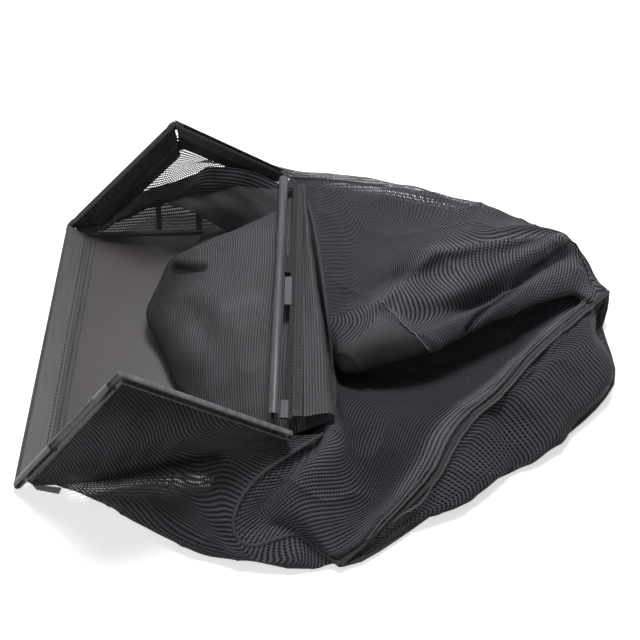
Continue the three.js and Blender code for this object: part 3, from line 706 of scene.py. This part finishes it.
def spun_thread(name, colour):
    """Bonded polyester thread, with the light and dark of its twist."""
    material, tree, shader = start_material(name, 0.5)
    twist = noise(tree, object_place(tree), 1500.0)
    finish_material(tree, shader, blend(tree, twist, "#060607", colour), twist, 0.1, 0.5)
    return material


# Operators
def spacing(name, description, millimetres):
    return FloatProperty(name=name, description=description, default=millimetres * MM, unit="LENGTH")


class BagSettings(bpy.types.PropertyGroup):
    wale: spacing("Wale spacing", "Spacing of the knit's raised lines", 4.8)
    course: spacing("Course spacing", "Spacing of the holes along a wale", 2.7)
    rib: spacing("Rib spacing", "Spacing of the solid cloth's ribs", 3.2)
    stitch: spacing("Stitch length", "Spacing of the stitches", 5.0)
    thread: spacing("Thread size", "Radius of the sewing thread", 0.85)


def settings():
    return bpy.context.scene.grass_bag


def shared(name, make, *details):
    return bpy.data.materials.get(name) or make(name, *details)


def settle(obj, node):
    """Hands a cloth piece to the frame and hides the CAD part that it stands for."""
    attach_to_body(obj, "root")
    if node:
        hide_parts(node)


def attach(obj):
    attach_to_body(obj, "root")


def knit(key):
    s = settings()
    return shared("warp_knit_" + key, knitted_mesh, "#050507", "#64646a", s.wale / MM, s.course / MM)


def ribbed(key):
    return shared("ribbed_polyester_" + key, ribbed_cloth, "#141416", "#5e5e62", settings().rib / MM)


def between(value, none_at, full_at):
    """0 up to one value and 1 from the other on, rising smoothly between them."""
    return smooth((value - none_at) / (full_at - none_at))


PUCKER_PITCH, PUCKER_REACH = 9, 14
CREASE_SEED_STEP = 20


class Sheet:
    """A cloth's base surface, with the measures that its relief and its painted light and shade are made
    from: edge is the distance from the nearer long seam, sides and ends are 0 at the seams and rise to 1
    over the reach, and v is the share of the way across."""

    def __init__(self, surface, columns, rows, reach=22):
        self.flat = surface(columns, rows)
        self.along, self.across = lengths(self.flat)
        self.edge = np.minimum(self.across, self.across[-1:] - self.across)
        self.sides = smooth(self.edge / reach)
        self.ends = smooth(np.minimum(self.along, self.along[:, -1:] - self.along) / reach)
        self.v = np.linspace(0, 1, rows)[:, None] + 0 * self.along
        self.x, self.y, self.z = (self.flat[..., k] for k in range(3))

    def rumpled(self, seed, height, size, crease_height, crease_size, level=False):
        """Soft random relief and narrow creases, flat at the seams, over the surface's own coordinates or,
        where it is level, over X and Y."""
        places = (self.x, self.y) if level else (self.along, self.across)
        soft = height * waves(*places, size, seed)
        sharp = crease_height * creases(*places, crease_size, seed + CREASE_SEED_STEP)
        return (soft + sharp) * self.sides * self.ends

    def gathered(self, height, seed):
        """Ripples along the long seams."""
        return height * puckers(self.along, self.edge, PUCKER_PITCH, PUCKER_REACH, seed) * self.ends

    def marks(self, *lines):
        """The sum over broken lines of an amount times the nearness to the line, over its width."""
        return sum(amount * beside_line(self.flat, line, width) for line, amount, width in lines)

    def raised(self, relief):
        """The surface moved along its normals by the relief."""
        return self.flat + normals(self.flat) * relief[..., None]


# Where the light floor shows through the near wall's holes, just below the vinyl's edge
SEE_THROUGH = [(60, -14, 20), (103, -26, 24), (130, -29, 33), (155, -34, 38), (195, -32, 47)]
# A line of painted shade across the near wall
SHADE_LINE = [(85, -14, 25), (142, -10, 40), (211, -9, 55)]
LOW_BULGE = np.array([0, -5.5, 0])


class BAG_OT_near_wall(bpy.types.Operator):
    """The near wall: it turns out of the base seam, lies on the ground and comes back up to its channels"""
    bl_idname = "bag.near_wall"
    bl_label = "Near wall"

    def execute(self, context):
        wall = Sheet(near_wall, columns=260, rows=190)
        relief = wall.rumpled(seed=3, height=1.8, size=60, crease_height=1.2, crease_size=85)
        relief += wall.gathered(height=0.4, seed=3)
        low = between(wall.z, 30, 10) * between(wall.x, 130, 190) * wall.ends * wall.sides
        grid = wall.raised(relief) + LOW_BULGE * low[..., None]
        # of painted shade along SHADE_LINE
        # tone paints shade: the whole wall darker, more so towards the channels at its top, and a dark line
        tone = 0.75 - 0.45 * between(wall.z, 80, 140) + wall.marks((SHADE_LINE, -0.5, 7))
        on_ground = between(wall.z, 12, 9) * between(wall.across, 24, 16)
        see = np.maximum(wall.marks((SEE_THROUGH, 1, 8)), on_ground) * between(wall.x, 238, 208)
        rows, run = weave_lines(wall.flat)
        obj = cloth_object("near_wall_cloth", grid, (run, rows), knit("near"), see=see, tone=tone)
        settle(obj, "near_side_panel")
        return {"FINISHED"}


# The pleat inside the far wall, from its upper to its lower edge, and the ribbed cloth that hangs under it
PLEAT_UPPER = [
    (45, 387, 20), (74, 387, 45), (105, 388, 73), (144, 389, 87), (169, 389, 96), (187, 390, 108),
    (210, 392, 107), (248, 395, 95), (277, 398, 73),
]
PLEAT_LOWER = [
    (41, 386, 10), (73, 383, 31), (108, 382, 50), (140, 381, 61), (168, 381, 60), (205, 382, 69),
    (277, 390, 62),
]
FOLD_UPPER = [(132, 384, 62), (166, 383, 78), (215, 382, 84), (277, 388, 72)]
FOLD_LOWER = [(150, 366, 70), (183, 360, 50), (223, 356, 26), (276, 350, 50)]
UPRIGHTS = (114, 166)
UPRIGHT_WIDTH, UPRIGHT_LOW, UPRIGHT_HIGH = 7, 6, 42


def hanging(upper, lower, belly, nu, nv, height, size, seed):
    """A strip of cloth between two edges: straight lines between them, pushed out towards the mouth by the
    belly times the sine of the way down, with soft random relief. Also its arc lengths along and across."""
    u, v = np.linspace(0, 1, nu), np.linspace(0, 1, nv)[:, None, None]
    top, bottom = catmull(upper, u)[None], catmull(lower, u)[None]
    strip = top + (bottom - top) * v + np.array([0, -1.0, 0]) * belly * np.sin(np.pi * v)
    along, across = lengths(strip)
    return strip + normals(strip) * (height * waves(along, across, size, seed))[..., None], along, across


def far_point(flat, x, height):
    """The point of the far wall nearest to a place along it and a height, on its inner side."""
    off = (flat[..., 0] - x) ** 2 + (flat[..., 2] - height) ** 2
    return flat[np.unravel_index(off.argmin(), off.shape)] - [0, 2.5, 0]


class BAG_OT_far_wall(bpy.types.Operator):
    """The far wall, seen from inside through the mouth, with the pleat that has sagged in front of it"""
    bl_idname = "bag.far_wall"
    bl_label = "Far wall"

    def execute(self, context):
        wall = Sheet(far_wall, columns=300, rows=170)
        relief = wall.rumpled(seed=5, height=1.4, size=60, crease_height=1.1, crease_size=85)
        relief += wall.gathered(height=0.4, seed=5)
        beside_mouth = between(wall.z, 42, 62) * 0.85 + 0.12
        behind_it = between(wall.x, 560, 480) * between(wall.z, 40, 55)
        see = np.where(wall.x < 290, beside_mouth, behind_it)
        rows, run = weave_lines(wall.flat)
        grid = wall.raised(relief)
        # tone 0.8 paints the far wall a little darker, as shade
        obj = cloth_object("far_wall_cloth", grid, (run, rows), knit("far"), True, see=see, tone=0.8)
        settle(obj, "far_side_panel")
        pleat, along, across = hanging(
            PLEAT_UPPER, PLEAT_LOWER, belly=7, nu=160, nv=40, height=1.2, size=30, seed=41,
        )
        # tone 0.55 paints the pleat darker, as shade
        obj = cloth_object("far_pleat_cloth", pleat, (across, along), knit("pleat"), see=0.0, tone=0.55)
        settle(obj, None)
        fold, along, across = hanging(
            FOLD_UPPER, FOLD_LOWER, belly=5, nu=120, nv=50, height=1.5, size=40, seed=43,
        )
        # tone 0.7 paints the ribbed fold darker, as shade
        obj = cloth_object("far_fold_cloth", fold, (along, across), ribbed("fold"), tone=0.7)
        settle(obj, None)
        strip = shared("rib_tape", woven_tape, "#0c0c0e", "#2c2c30")
        for k, x in enumerate(UPRIGHTS):
            foot, head = far_point(wall.flat, x, UPRIGHT_LOW), far_point(wall.flat, x, UPRIGHT_HIGH)
            beyond = np.array([UPRIGHT_WIDTH, 0, 0])
            attach(tab("far_upright_%d" % k, [foot, foot + beyond, head + beyond, head], 0.8, strip))
        return {"FINISHED"}


# The rear wall: a valley and a swell beside the seam's near end, the hollow under the rear corner and
# how far it is pushed in, and how far the cloth at mid-height spills out and down
REAR_VALLEY, REAR_SWELL = [(508, 55, 44), (522, 17, 12)], [(545, 62, 38), (575, 40, 10)]
REAR_HOLLOW, HOLLOW_PUSH = [(668, 196, 32), (668, 158, 30)], np.array([-26.0, 14.0, 0])
SPILL_PUSH = np.array([6.0, -12.0, -2.0])


class BAG_OT_rear_wall(bpy.types.Operator):
    """The low rear wall, pushed in under the rear corner, with a valley beside the near end of the seam"""
    bl_idname = "bag.rear_wall"
    bl_label = "Rear wall"

    def execute(self, context):
        wall = Sheet(rear_wall, columns=280, rows=110, reach=14)
        relief = wall.rumpled(seed=7, height=1.4, size=60, crease_height=1.2, crease_size=70)
        relief += 2.2 * bell(wall.across[-1:] - wall.across, 7, 5) * wall.ends
        relief += wall.marks((REAR_VALLEY, -5, 13), (REAR_SWELL, 4, 16)) * wall.sides
        sunk = wall.marks((REAR_HOLLOW, 1, 28)) * wall.sides * wall.ends
        spilt = between(wall.x, 400, 460) * between(wall.x, 605, 535) * bell(wall.z, 14, 12) * wall.sides
        grid = wall.raised(relief) + HOLLOW_PUSH * sunk[..., None] + SPILL_PUSH * spilt[..., None]
        pattern = weave_lines(wall.flat)
        # tone paints shade over the rear wall, lifted by painted light in the hollow under the rear corner
        obj = cloth_object("rear_wall_cloth", grid, pattern, knit("rear"), tone=0.72 + 0.6 * sunk)
        settle(obj, "rear_panel")
        return {"FINISHED"}


# The top's ridge, the crease down from the rear corner, the slope above it, which carries only a painted
# highlight, and the sewn-in patch: its seam in space, and its outline as shares of the way along and across
# the sheet
RIDGE = [(390, 161, 94), (420, 190, 108), (454, 217, 119), (479, 219, 118), (568, 253, 100), (618, 271, 80)]
CREASE = [(621, 272, 77), (580, 234, 79), (542, 187, 84), (514, 166, 86), (496, 150, 83), (483, 137, 76)]
SHOULDER_HIGHLIGHT = [(470, 200, 108), (560, 228, 92), (604, 262, 84)]
PATCH_SEAM = [(390, 161, 94), (412, 136, 90), (438, 112, 73)]
PATCH = [(-0.01, 0.38), (-0.01, 0.66), (0.112, 0.643), (0.239, 0.714), (0.425, 0.566), (0.43, 0.44)]


class BAG_OT_top(bpy.types.Operator):
    """The mesh top: its upper ridge, the crease down from the rear corner, the sewn-in solid patch beside
    the mouth, and the welt where it rolls into the rear seam"""
    bl_idname = "bag.top"
    bl_label = "Mesh top"

    def execute(self, context):
        top = Sheet(top_sheet, columns=270, rows=365)
        rear = top.along[:, -1:] - top.along
        relief = top.rumpled(seed=9, height=1.6, size=55, crease_height=2.2, crease_size=90, level=True)
        relief += top.gathered(height=0.5, seed=9)
        relief += 0.35 * puckers(top.across, top.along, pitch=8, reach=12, seed=19) * top.sides
        welt = 3.5 * bell(rear, 15, 9) + 2.0 * bell(rear, 7, 3)
        relief += welt * between(top.v, 0.1, 0.225) * between(top.v, 0.62, 0.52)
        relief += top.marks((RIDGE, 5.5, 7), (CREASE, -4.0, 4.5), (CREASE, 2.0, 14)) * top.sides
        relief += top.marks((PATCH_SEAM, 0.9, 2.0))
        grid = top.raised(relief)
        crest = np.interp(top.x, [p[0] for p in RIDGE], [p[1] for p in RIDGE])
        beyond = (top.y > crest) & (top.v > 0.66)
        see = between(top.v, 0.89, 0.94) * between(top.x, 325, 355) * between(top.x, 560, 480)
        rows, run = weave_lines(top.flat)
        region = inside(np.linspace(0, 1, top.flat.shape[1]) + 0 * top.v, top.v, PATCH)
        # its top and shaded at its bottom
        # tone paints light and shade: the lower slope and the far slope darker as shade, highlights along
        # the
        # welt's crest, the ridge and the slope above it, a line of shade in the crease, and the patch lit at
        tone = 0.95 - 0.5 * between(top.v, 0.42, 0.38) * between(top.v, 0.1, 0.22)
        tone = tone - 0.28 * between(top.v, 0.72, 0.8) + 1.1 * bell(rear, 16, 8)
        tone = tone + top.marks((RIDGE, 0.4, 12), (SHOULDER_HIGHLIGHT, 0.4, 24), (CREASE, -0.75, 3.5))
        tone = np.where(region, 0.05 + 1.45 * between(top.v, 0.58, 0.7), tone)
        obj = cloth_object(
            "top_cloth", grid, (rows, run), knit("top"), turned=beyond, see=see, tone=tone,
            patch=(region, ribbed("patch")),
        )
        settle(obj, "top_mesh_panel")
        seam = shared("patch_seam", woven_tape, "#3c3c40", "#8c8c90")
        path = catmull(np.array(PATCH_SEAM), np.linspace(0, 1, 24))
        nearest = ((top.flat[:, :, None] - path) ** 2).sum(-1).reshape(-1, len(path)).argmin(0)
        above = (grid + normals(grid) * 0.8).reshape(-1, 3)
        attach(tube("patch_seam_cord", above[nearest], radius=0.8, sides=6, material=seam))
        return {"FINISHED"}


# The ribbed cloth's tongue: the tuck at its left end and the rise beside it, the dip, swell and band
# across it, its margin and a lighter line. Shade is painted along the margin, dip and tuck, and highlight
# on the band and the lighter line.
TUCK = [(150, 284, 38), (166, 277, 42), (183, 272, 48)]
TUCK_RISE = [(154, 294, 40), (170, 287, 44), (187, 282, 50)]
DIP = [(168, 214, 40), (188, 190, 48), (196, 168, 46)]
SWELL = [(182, 170, 43), (206, 110, 33)]
BAND = [(214, 192, 58), (250, 200, 63)]
SHADED_MARGIN = [
    (144, 281, 38), (129, 234, 33), (124, 209, 26), (129, 193, 22), (140, 169, 17), (154, 135, 14),
    (166, 97, 10),
]
LIGHT = [(175, 176, 42), (206, 111, 33)]
TONGUE_SHARE = 0.575
TONGUE_RELIEF = ((TUCK, -6.5, 5), (TUCK_RISE, 2.5, 7), (DIP, -4, 14), (SWELL, 3, 20), (BAND, 2.5, 10))
RIBBED_SHADE_AND_HIGHLIGHT = ((SHADED_MARGIN, -0.85, 32), (DIP, -0.35, 16), (TUCK, -0.7, 6), (BAND, 0.35, 14), (LIGHT, 0.3, 16))


class BAG_OT_ribbed(bpy.types.Operator):
    """The ribbed cloth that rolls over the rear channel's hem and into the mouth, to a pointed tongue"""
    bl_idname = "bag.ribbed"
    bl_label = "Ribbed cloth"

    def execute(self, context):
        sheet = Sheet(ribbed_sheet, columns=200, rows=420)
        relief = sheet.rumpled(seed=11, height=1.2, size=60, crease_height=1.0, crease_size=70, level=True)
        lift = sheet.marks(*TONGUE_RELIEF)
        grid = sheet.raised(relief + lift * (sheet.v < TONGUE_SHARE))
        # painted shade along the margin, dip and tuck, painted highlight on the band and the lighter line
        tone = 1 + sheet.marks(*RIBBED_SHADE_AND_HIGHLIGHT)
        rows, run = weave_lines(sheet.flat)
        obj = cloth_object("ribbed_cloth", grid, (run, rows), ribbed("top"), tone=tone)
        settle(obj, "top_ribbed_panel")
        return {"FINISHED"}


# Rows of lockstitch: channel, from and to along it, distance out along the leg, and the face they lie on
LEG_FACE, REAR_FACE, TAPE_FACE = -HOOK, -HOOK + LEG_WALL, -HOOK + 0.1
ROWS = (
    ("lip_leg", LIP, 12, 388, 20.5, LEG_FACE),
    ("lip_hem", LIP_HEM, 24, 376, 29.5, HOOK - TAPE_WALL),
    ("near_front_leg", NEAR_FRONT, 24, 190, 19, LEG_FACE),
    ("near_front_hem", NEAR_FRONT, 34, 176, 29.5, TAPE_FACE),
    ("near_top_leg", NEAR_TOP, 6, 160, 19, LEG_FACE),
    ("near_top_hem", NEAR_TOP, 8, 148, 29.5, TAPE_FACE),
    ("far_front_leg", FAR_FRONT, 28, 198, 19.5, LEG_FACE),
    ("far_front_hem", FAR_FRONT, 38, 188, 29.5, TAPE_FACE),
    ("far_top_leg", FAR_TOP, 16, 166, 10, LEG_FACE),
    ("far_top_hem", FAR_TOP, 30, 164, 24, TAPE_FACE),
    ("rear_leg", REAR, 4, 378, 16.5, REAR_FACE),
)
THREAD_SHARE = 0.66
ZIGZAG_FROM, ZIGZAG_TO, ZIGZAG_PITCH = 6, 372, 2.2
ZIGZAG_SIDES = (20.8, 27.4)


class BAG_OT_stitches(bpy.types.Operator):
    """Lockstitch along every leg and hem tape, and the zigzag that closes the rear tape"""
    bl_idname = "bag.stitches"
    bl_label = "Stitching"

    def execute(self, context):
        s = settings()
        pitch, radius = s.stitch / MM, s.thread / MM
        thread = shared("bonded_thread", spun_thread, "#161618")
        for name, channel, first, last, out, face in ROWS:
            at = np.arange(first, last, pitch)
            starts = beside(channel, at, out, face)
            ends = beside(channel, at + THREAD_SHARE * pitch, out, face)
            attach(spindles(name + "_stitches", starts, ends, radius, thread))
        at = np.arange(ZIGZAG_FROM, ZIGZAG_TO, ZIGZAG_PITCH)
        inner, outer = ZIGZAG_SIDES
        side = np.where(np.arange(len(at)) % 2, inner, outer)
        points = beside(REAR, at, side, TAPE_FACE + TAPE_WALL)
        attach(spindles("rear_zigzag", points[:-1], points[1:], radius, thread))
        return {"FINISHED"}


# The welts' cords, and where those on the top lie: distance from the seam and height off the cloth
WELT_RADIUS, WELT_STEP = 1.3, 3.0
TOP_WELTS = (("upper_welt", 6.5, 3.4), ("crown_welt", 11.5, 3.6))
LOWER_WELT_DISTANCE, LOWER_WELT_LIFT = 6.5, 2.4


class BAG_OT_welts(bpy.types.Operator):
    """The twin cords of stitched seam allowance that run along the rear seam, one on each cloth"""
    bl_idname = "bag.welts"
    bl_label = "Rear seam welts"

    def execute(self, context):
        cord = shared("seam_welt", woven_tape, "#1c1c1f", "#6c6c70")
        top = top_sheet(160, 360)
        along = lengths(top)[0]
        rows = np.arange(50, 210)
        for name, distance, lift in TOP_WELTS:
            columns = np.argmin(np.abs(along[:, -1:] - along - distance), axis=1)[rows]
            path = (top + normals(top) * lift)[rows, columns]
            attach(tube(name, evenly(path, WELT_STEP), WELT_RADIUS, 8, cord))
        rear = rear_wall(280, 60)
        across = lengths(rear)[1]
        columns = np.arange(30, 262)
        rows = np.argmin(np.abs(across[-1:] - across - LOWER_WELT_DISTANCE), axis=0)[columns]
        path = (rear + normals(rear) * LOWER_WELT_LIFT)[rows, columns]
        attach(tube("lower_welt", evenly(path, WELT_STEP), WELT_RADIUS, 8, cord))
        return {"FINISHED"}


# Folded ends of the hems that close the mitred corners: four corners each, and how pale they are
HEM_ENDS = (
    ("lip_far_end", [(3, 404, 10), (34, 402, 12), (38, 384, 3), (12, 387, 3)], "dark"),
    ("top_far_end", [(153, 402, 141), (168, 402, 141), (168, 402, 128), (153, 402, 128)], "dark"),
    ("lip_near_end", [(12, 1, 2.6), (44, -5, 2.6), (42, -12, 2.2), (18, -6, 2.2)], "pale"),
)
# Paler slips in the rear leg's windows, a painted highlight where the leg catches the light: from and to
# along the channel, and from and to out along its leg
SLIPS, SLIP_INNER, SLIP_OUTER = ((177, 222), (360, 383)), 7, 15
# Sleeves of cloth round the wire at the far corners: the corner between two others
SLEEVES = (
    ("lip_far_sleeve", LIP_NEAR, LIP_FAR, TOP_FAR),
    ("top_far_sleeve", LIP_FAR, TOP_FAR, FAR_TOP[1]),
)


def unit(vector):
    return vector / np.linalg.norm(vector)


class BAG_OT_hem_ends(bpy.types.Operator):
    """Folded ends of the hems at the mouth's corners"""
    bl_idname = "bag.hem_ends"
    bl_label = "Hem ends"

    def execute(self, context):
        # The near end's strip is pale, and its colour is raised further as painted light, as it lies in
        # shadow
        looks = {
            "dark": shared("hem_end_dark", woven_tape, "#18181b", "#343438"),
            "pale": shared("hem_end_pale_painted_light", woven_tape, "#8c8c8e", "#b4b4b6"),
        }
        for name, corners, look in HEM_ENDS:
            attach(tab(name, corners, 0.9, looks[look]))
        # The slips paint a highlight on the rear leg
        slip_highlight = shared("rear_leg_painted_highlight", woven_tape, "#4c4c50", "#6a6a6e")
        for k, (first, last) in enumerate(SLIPS):
            places = ((first, SLIP_INNER), (first, SLIP_OUTER), (last, SLIP_OUTER), (last, SLIP_INNER))
            corners = [beside(REAR, at, out, REAR_FACE + 0.6) for at, out in places]
            attach(tab("rear_slip_%d" % k, corners, 0.6, slip_highlight))
        for name, before, corner, after in SLEEVES:
            ahead, on = unit(corner - before), unit(after - corner)
            stops = [corner - ahead * 9, corner - ahead * 3, corner + on * 3, corner + on * 9]
            bend = catmull(stops, np.linspace(0, 1, 13))
            attach(tube(name, bend, radius=HOOK - 0.2, sides=24, material=looks["dark"]))
        return {"FINISHED"}


class BAG_OT_finish(bpy.types.Operator):
    """Materials of the floor, channels, tapes and piping that come from the CAD"""
    bl_idname = "bag.finish"
    bl_label = "Floor, channels and tapes"

    def execute(self, context):
        looks = {
            "floor_panel": calendered_vinyl(),
            "front_lip_channel": extruded_plastic("lip_polypropylene", "#2e2c2e", "#444244", ALONG_Y, 0.5),
            "far_front_channel": extruded_plastic("far_polypropylene", "#242428", "#3c3c41", ALONG_Y, 0.28),
            # The far top channel is the far front's plastic, painted lighter as light that its face doesn't
            # get
            "far_top_channel": extruded_plastic("far_top_polypropylene_painted_light", "#4a4a4e", "#5e5e63", ALONG_Y, 0.3),
            "rear_channel": extruded_plastic("bar_polypropylene", "#38383c", "#58585d", ALONG_Y, 0.38, REAR),
            "_channel": extruded_plastic("extruded_polypropylene", "#49494c", "#737377", ALONG_Y),
            "far_front_tape": extruded_plastic("far_web_polypropylene", "#242428", "#34343a", ACROSS_Y),
            "front_lip_tape": extruded_plastic("lip_hem_vinyl", "#343234", "#464446", ALONG_Y, 0.4),
            "_tape": woven_tape("woven_edge_tape", "#1e1e21", "#4a4a4f"),
            "near_seam_piping": woven_tape("knitted_piping", "#1a1a1c", "#5a5a5e"),
            "_piping": woven_tape("seam_piping", "#1a1a1c", "#505054"),
        }
        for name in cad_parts:
            kind = name if name in looks else "_" + name.rsplit("_", 1)[-1]
            if kind in looks:
                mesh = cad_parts[name].data
                mesh.materials.clear()
                mesh.materials.append(looks[kind])
        return {"FINISHED"}


# The stage: the strength of the light all round, how bright the floor is for the camera, and the lamps,
# each with its place, what it is aimed at, its size in metres and its power
SKY = 0.1
FLOOR_GLOW = 0.6
FLOOR_HALF = 6
LAMPS = (
    ("key", (0.1, 0.7, 1.5), (0, 0, 0), 0.5, 28),
    ("fill", (-0.7, -0.9, 0.9), (0, 0, 0), 1.2, 3.2),
)
PHOTO_SIDE = 640
FOCAL_PIXELS = 985.0
SENSOR = 36.0
AZIMUTH, ELEVATION, DISTANCE = math.radians(-2.0), math.radians(47.5), 1.2
TARGET = (324.0, 227.0, 0.0)


def straight_ray(tree):
    """1 for what the camera sees, straight or in a reflection or through the cloth, and 0 for the light."""
    path = put(tree, "LightPath")
    seen = math_node(tree, "MAXIMUM", path.outputs["Is Camera Ray"], path.outputs["Is Glossy Ray"])
    return math_node(tree, "MAXIMUM", seen, path.outputs["Is Transmission Ray"])


def add_floor():
    """A plain square floor under the bag, white where the camera sees it."""
    low, half = FLOOR_LOW[2], FLOOR_HALF
    verts = np.array([(-half, -half, low), (half, -half, low), (half, half, low), (-half, half, low)])
    material, tree, shader = start_material("studio_floor", 0.9)
    shader.inputs["Base Color"].default_value = linear("#f4f4f4")
    lift = math_node(tree, "MULTIPLY", straight_ray(tree), FLOOR_GLOW)
    tree.links.new(lift, shader.inputs["Emission Strength"])
    shader.inputs["Emission Color"].default_value = (1, 1, 1, 1)
    make_object("floor", verts, [[0, 1, 2, 3]], material)


def add_world(scene):
    """White for the camera and a weak light from all sides for the bag."""
    world = bpy.data.worlds.new("studio")
    scene.world = world
    world.use_nodes = True
    tree = world.node_tree
    tree.nodes.clear()
    strength = put(tree, "MapRange", {"Value": straight_ray(tree), "To Min": SKY, "To Max": 1.0})
    back = put(tree, "Background", {"Color": (1, 1, 1, 1), "Strength": strength.outputs[0]})
    put(tree, "OutputWorld", {"Surface": back.outputs[0]})


def add_lamps(scene):
    for name, place, aim, size, power in LAMPS:
        data = bpy.data.lights.new(name, "AREA")
        data.energy = power
        data.size = size
        lamp = bpy.data.objects.new(name, data)
        lamp.location = place
        lamp.rotation_euler = (Vector(aim) - Vector(place)).to_track_quat("-Z", "Y").to_euler()
        scene.collection.objects.link(lamp)


def add_camera(scene):
    """A camera turned and raised by two angles about its target, with the photograph's focal length."""
    level = math.cos(ELEVATION)
    back = Vector((math.sin(AZIMUTH) * level, -math.cos(AZIMUTH) * level, math.sin(ELEVATION)))
    right = Vector((math.cos(AZIMUTH), math.sin(AZIMUTH), 0))
    up = back.cross(right)
    data = bpy.data.cameras.new("camera")
    data.sensor_width = SENSOR
    data.lens = FOCAL_PIXELS / PHOTO_SIDE * SENSOR
    camera = bpy.data.objects.new("camera", data)
    place = Vector(to_frame(TARGET)) + back * DISTANCE
    turn = Matrix((right, up, back)).transposed().to_4x4()
    camera.matrix_world = Matrix.Translation(place) @ turn
    scene.collection.objects.link(camera)
    scene.camera = camera


class BAG_OT_stage(bpy.types.Operator):
    """White floor, soft lights and the camera at the photograph's viewing angle"""
    bl_idname = "bag.stage"
    bl_label = "Stage and camera"

    def execute(self, context):
        scene = context.scene
        scene.view_settings.view_transform = "Standard"
        add_floor()
        add_world(scene)
        add_lamps(scene)
        add_camera(scene)
        return {"FINISHED"}


class BAG_PT_panel(bpy.types.Panel):
    bl_idname = "BAG_PT_panel"
    bl_label = "Grass bag"
    bl_space_type = "VIEW_3D"
    bl_region_type = "UI"
    bl_category = "Grass bag"

    def draw(self, context):
        for name in BagSettings.__annotations__:
            self.layout.prop(context.scene.grass_bag, name)
        for operator in OPERATORS:
            self.layout.operator(operator.bl_idname)


OPERATORS = (
    BAG_OT_finish, BAG_OT_near_wall, BAG_OT_rear_wall, BAG_OT_top, BAG_OT_ribbed, BAG_OT_far_wall,
    BAG_OT_stitches, BAG_OT_welts, BAG_OT_hem_ends, BAG_OT_stage,
)
CLASSES = (BagSettings, *OPERATORS, BAG_PT_panel)


def register():
    for cls in CLASSES:
        bpy.utils.register_class(cls)
    bpy.types.Scene.grass_bag = PointerProperty(type=BagSettings)


def unregister():
    del bpy.types.Scene.grass_bag
    for cls in reversed(CLASSES):
        bpy.utils.unregister_class(cls)


def main():
    register()
    for operator in OPERATORS:
        group, name = operator.bl_idname.split(".")
        getattr(getattr(bpy.ops, group), name)()


if __name__ == "__main__":
    main()
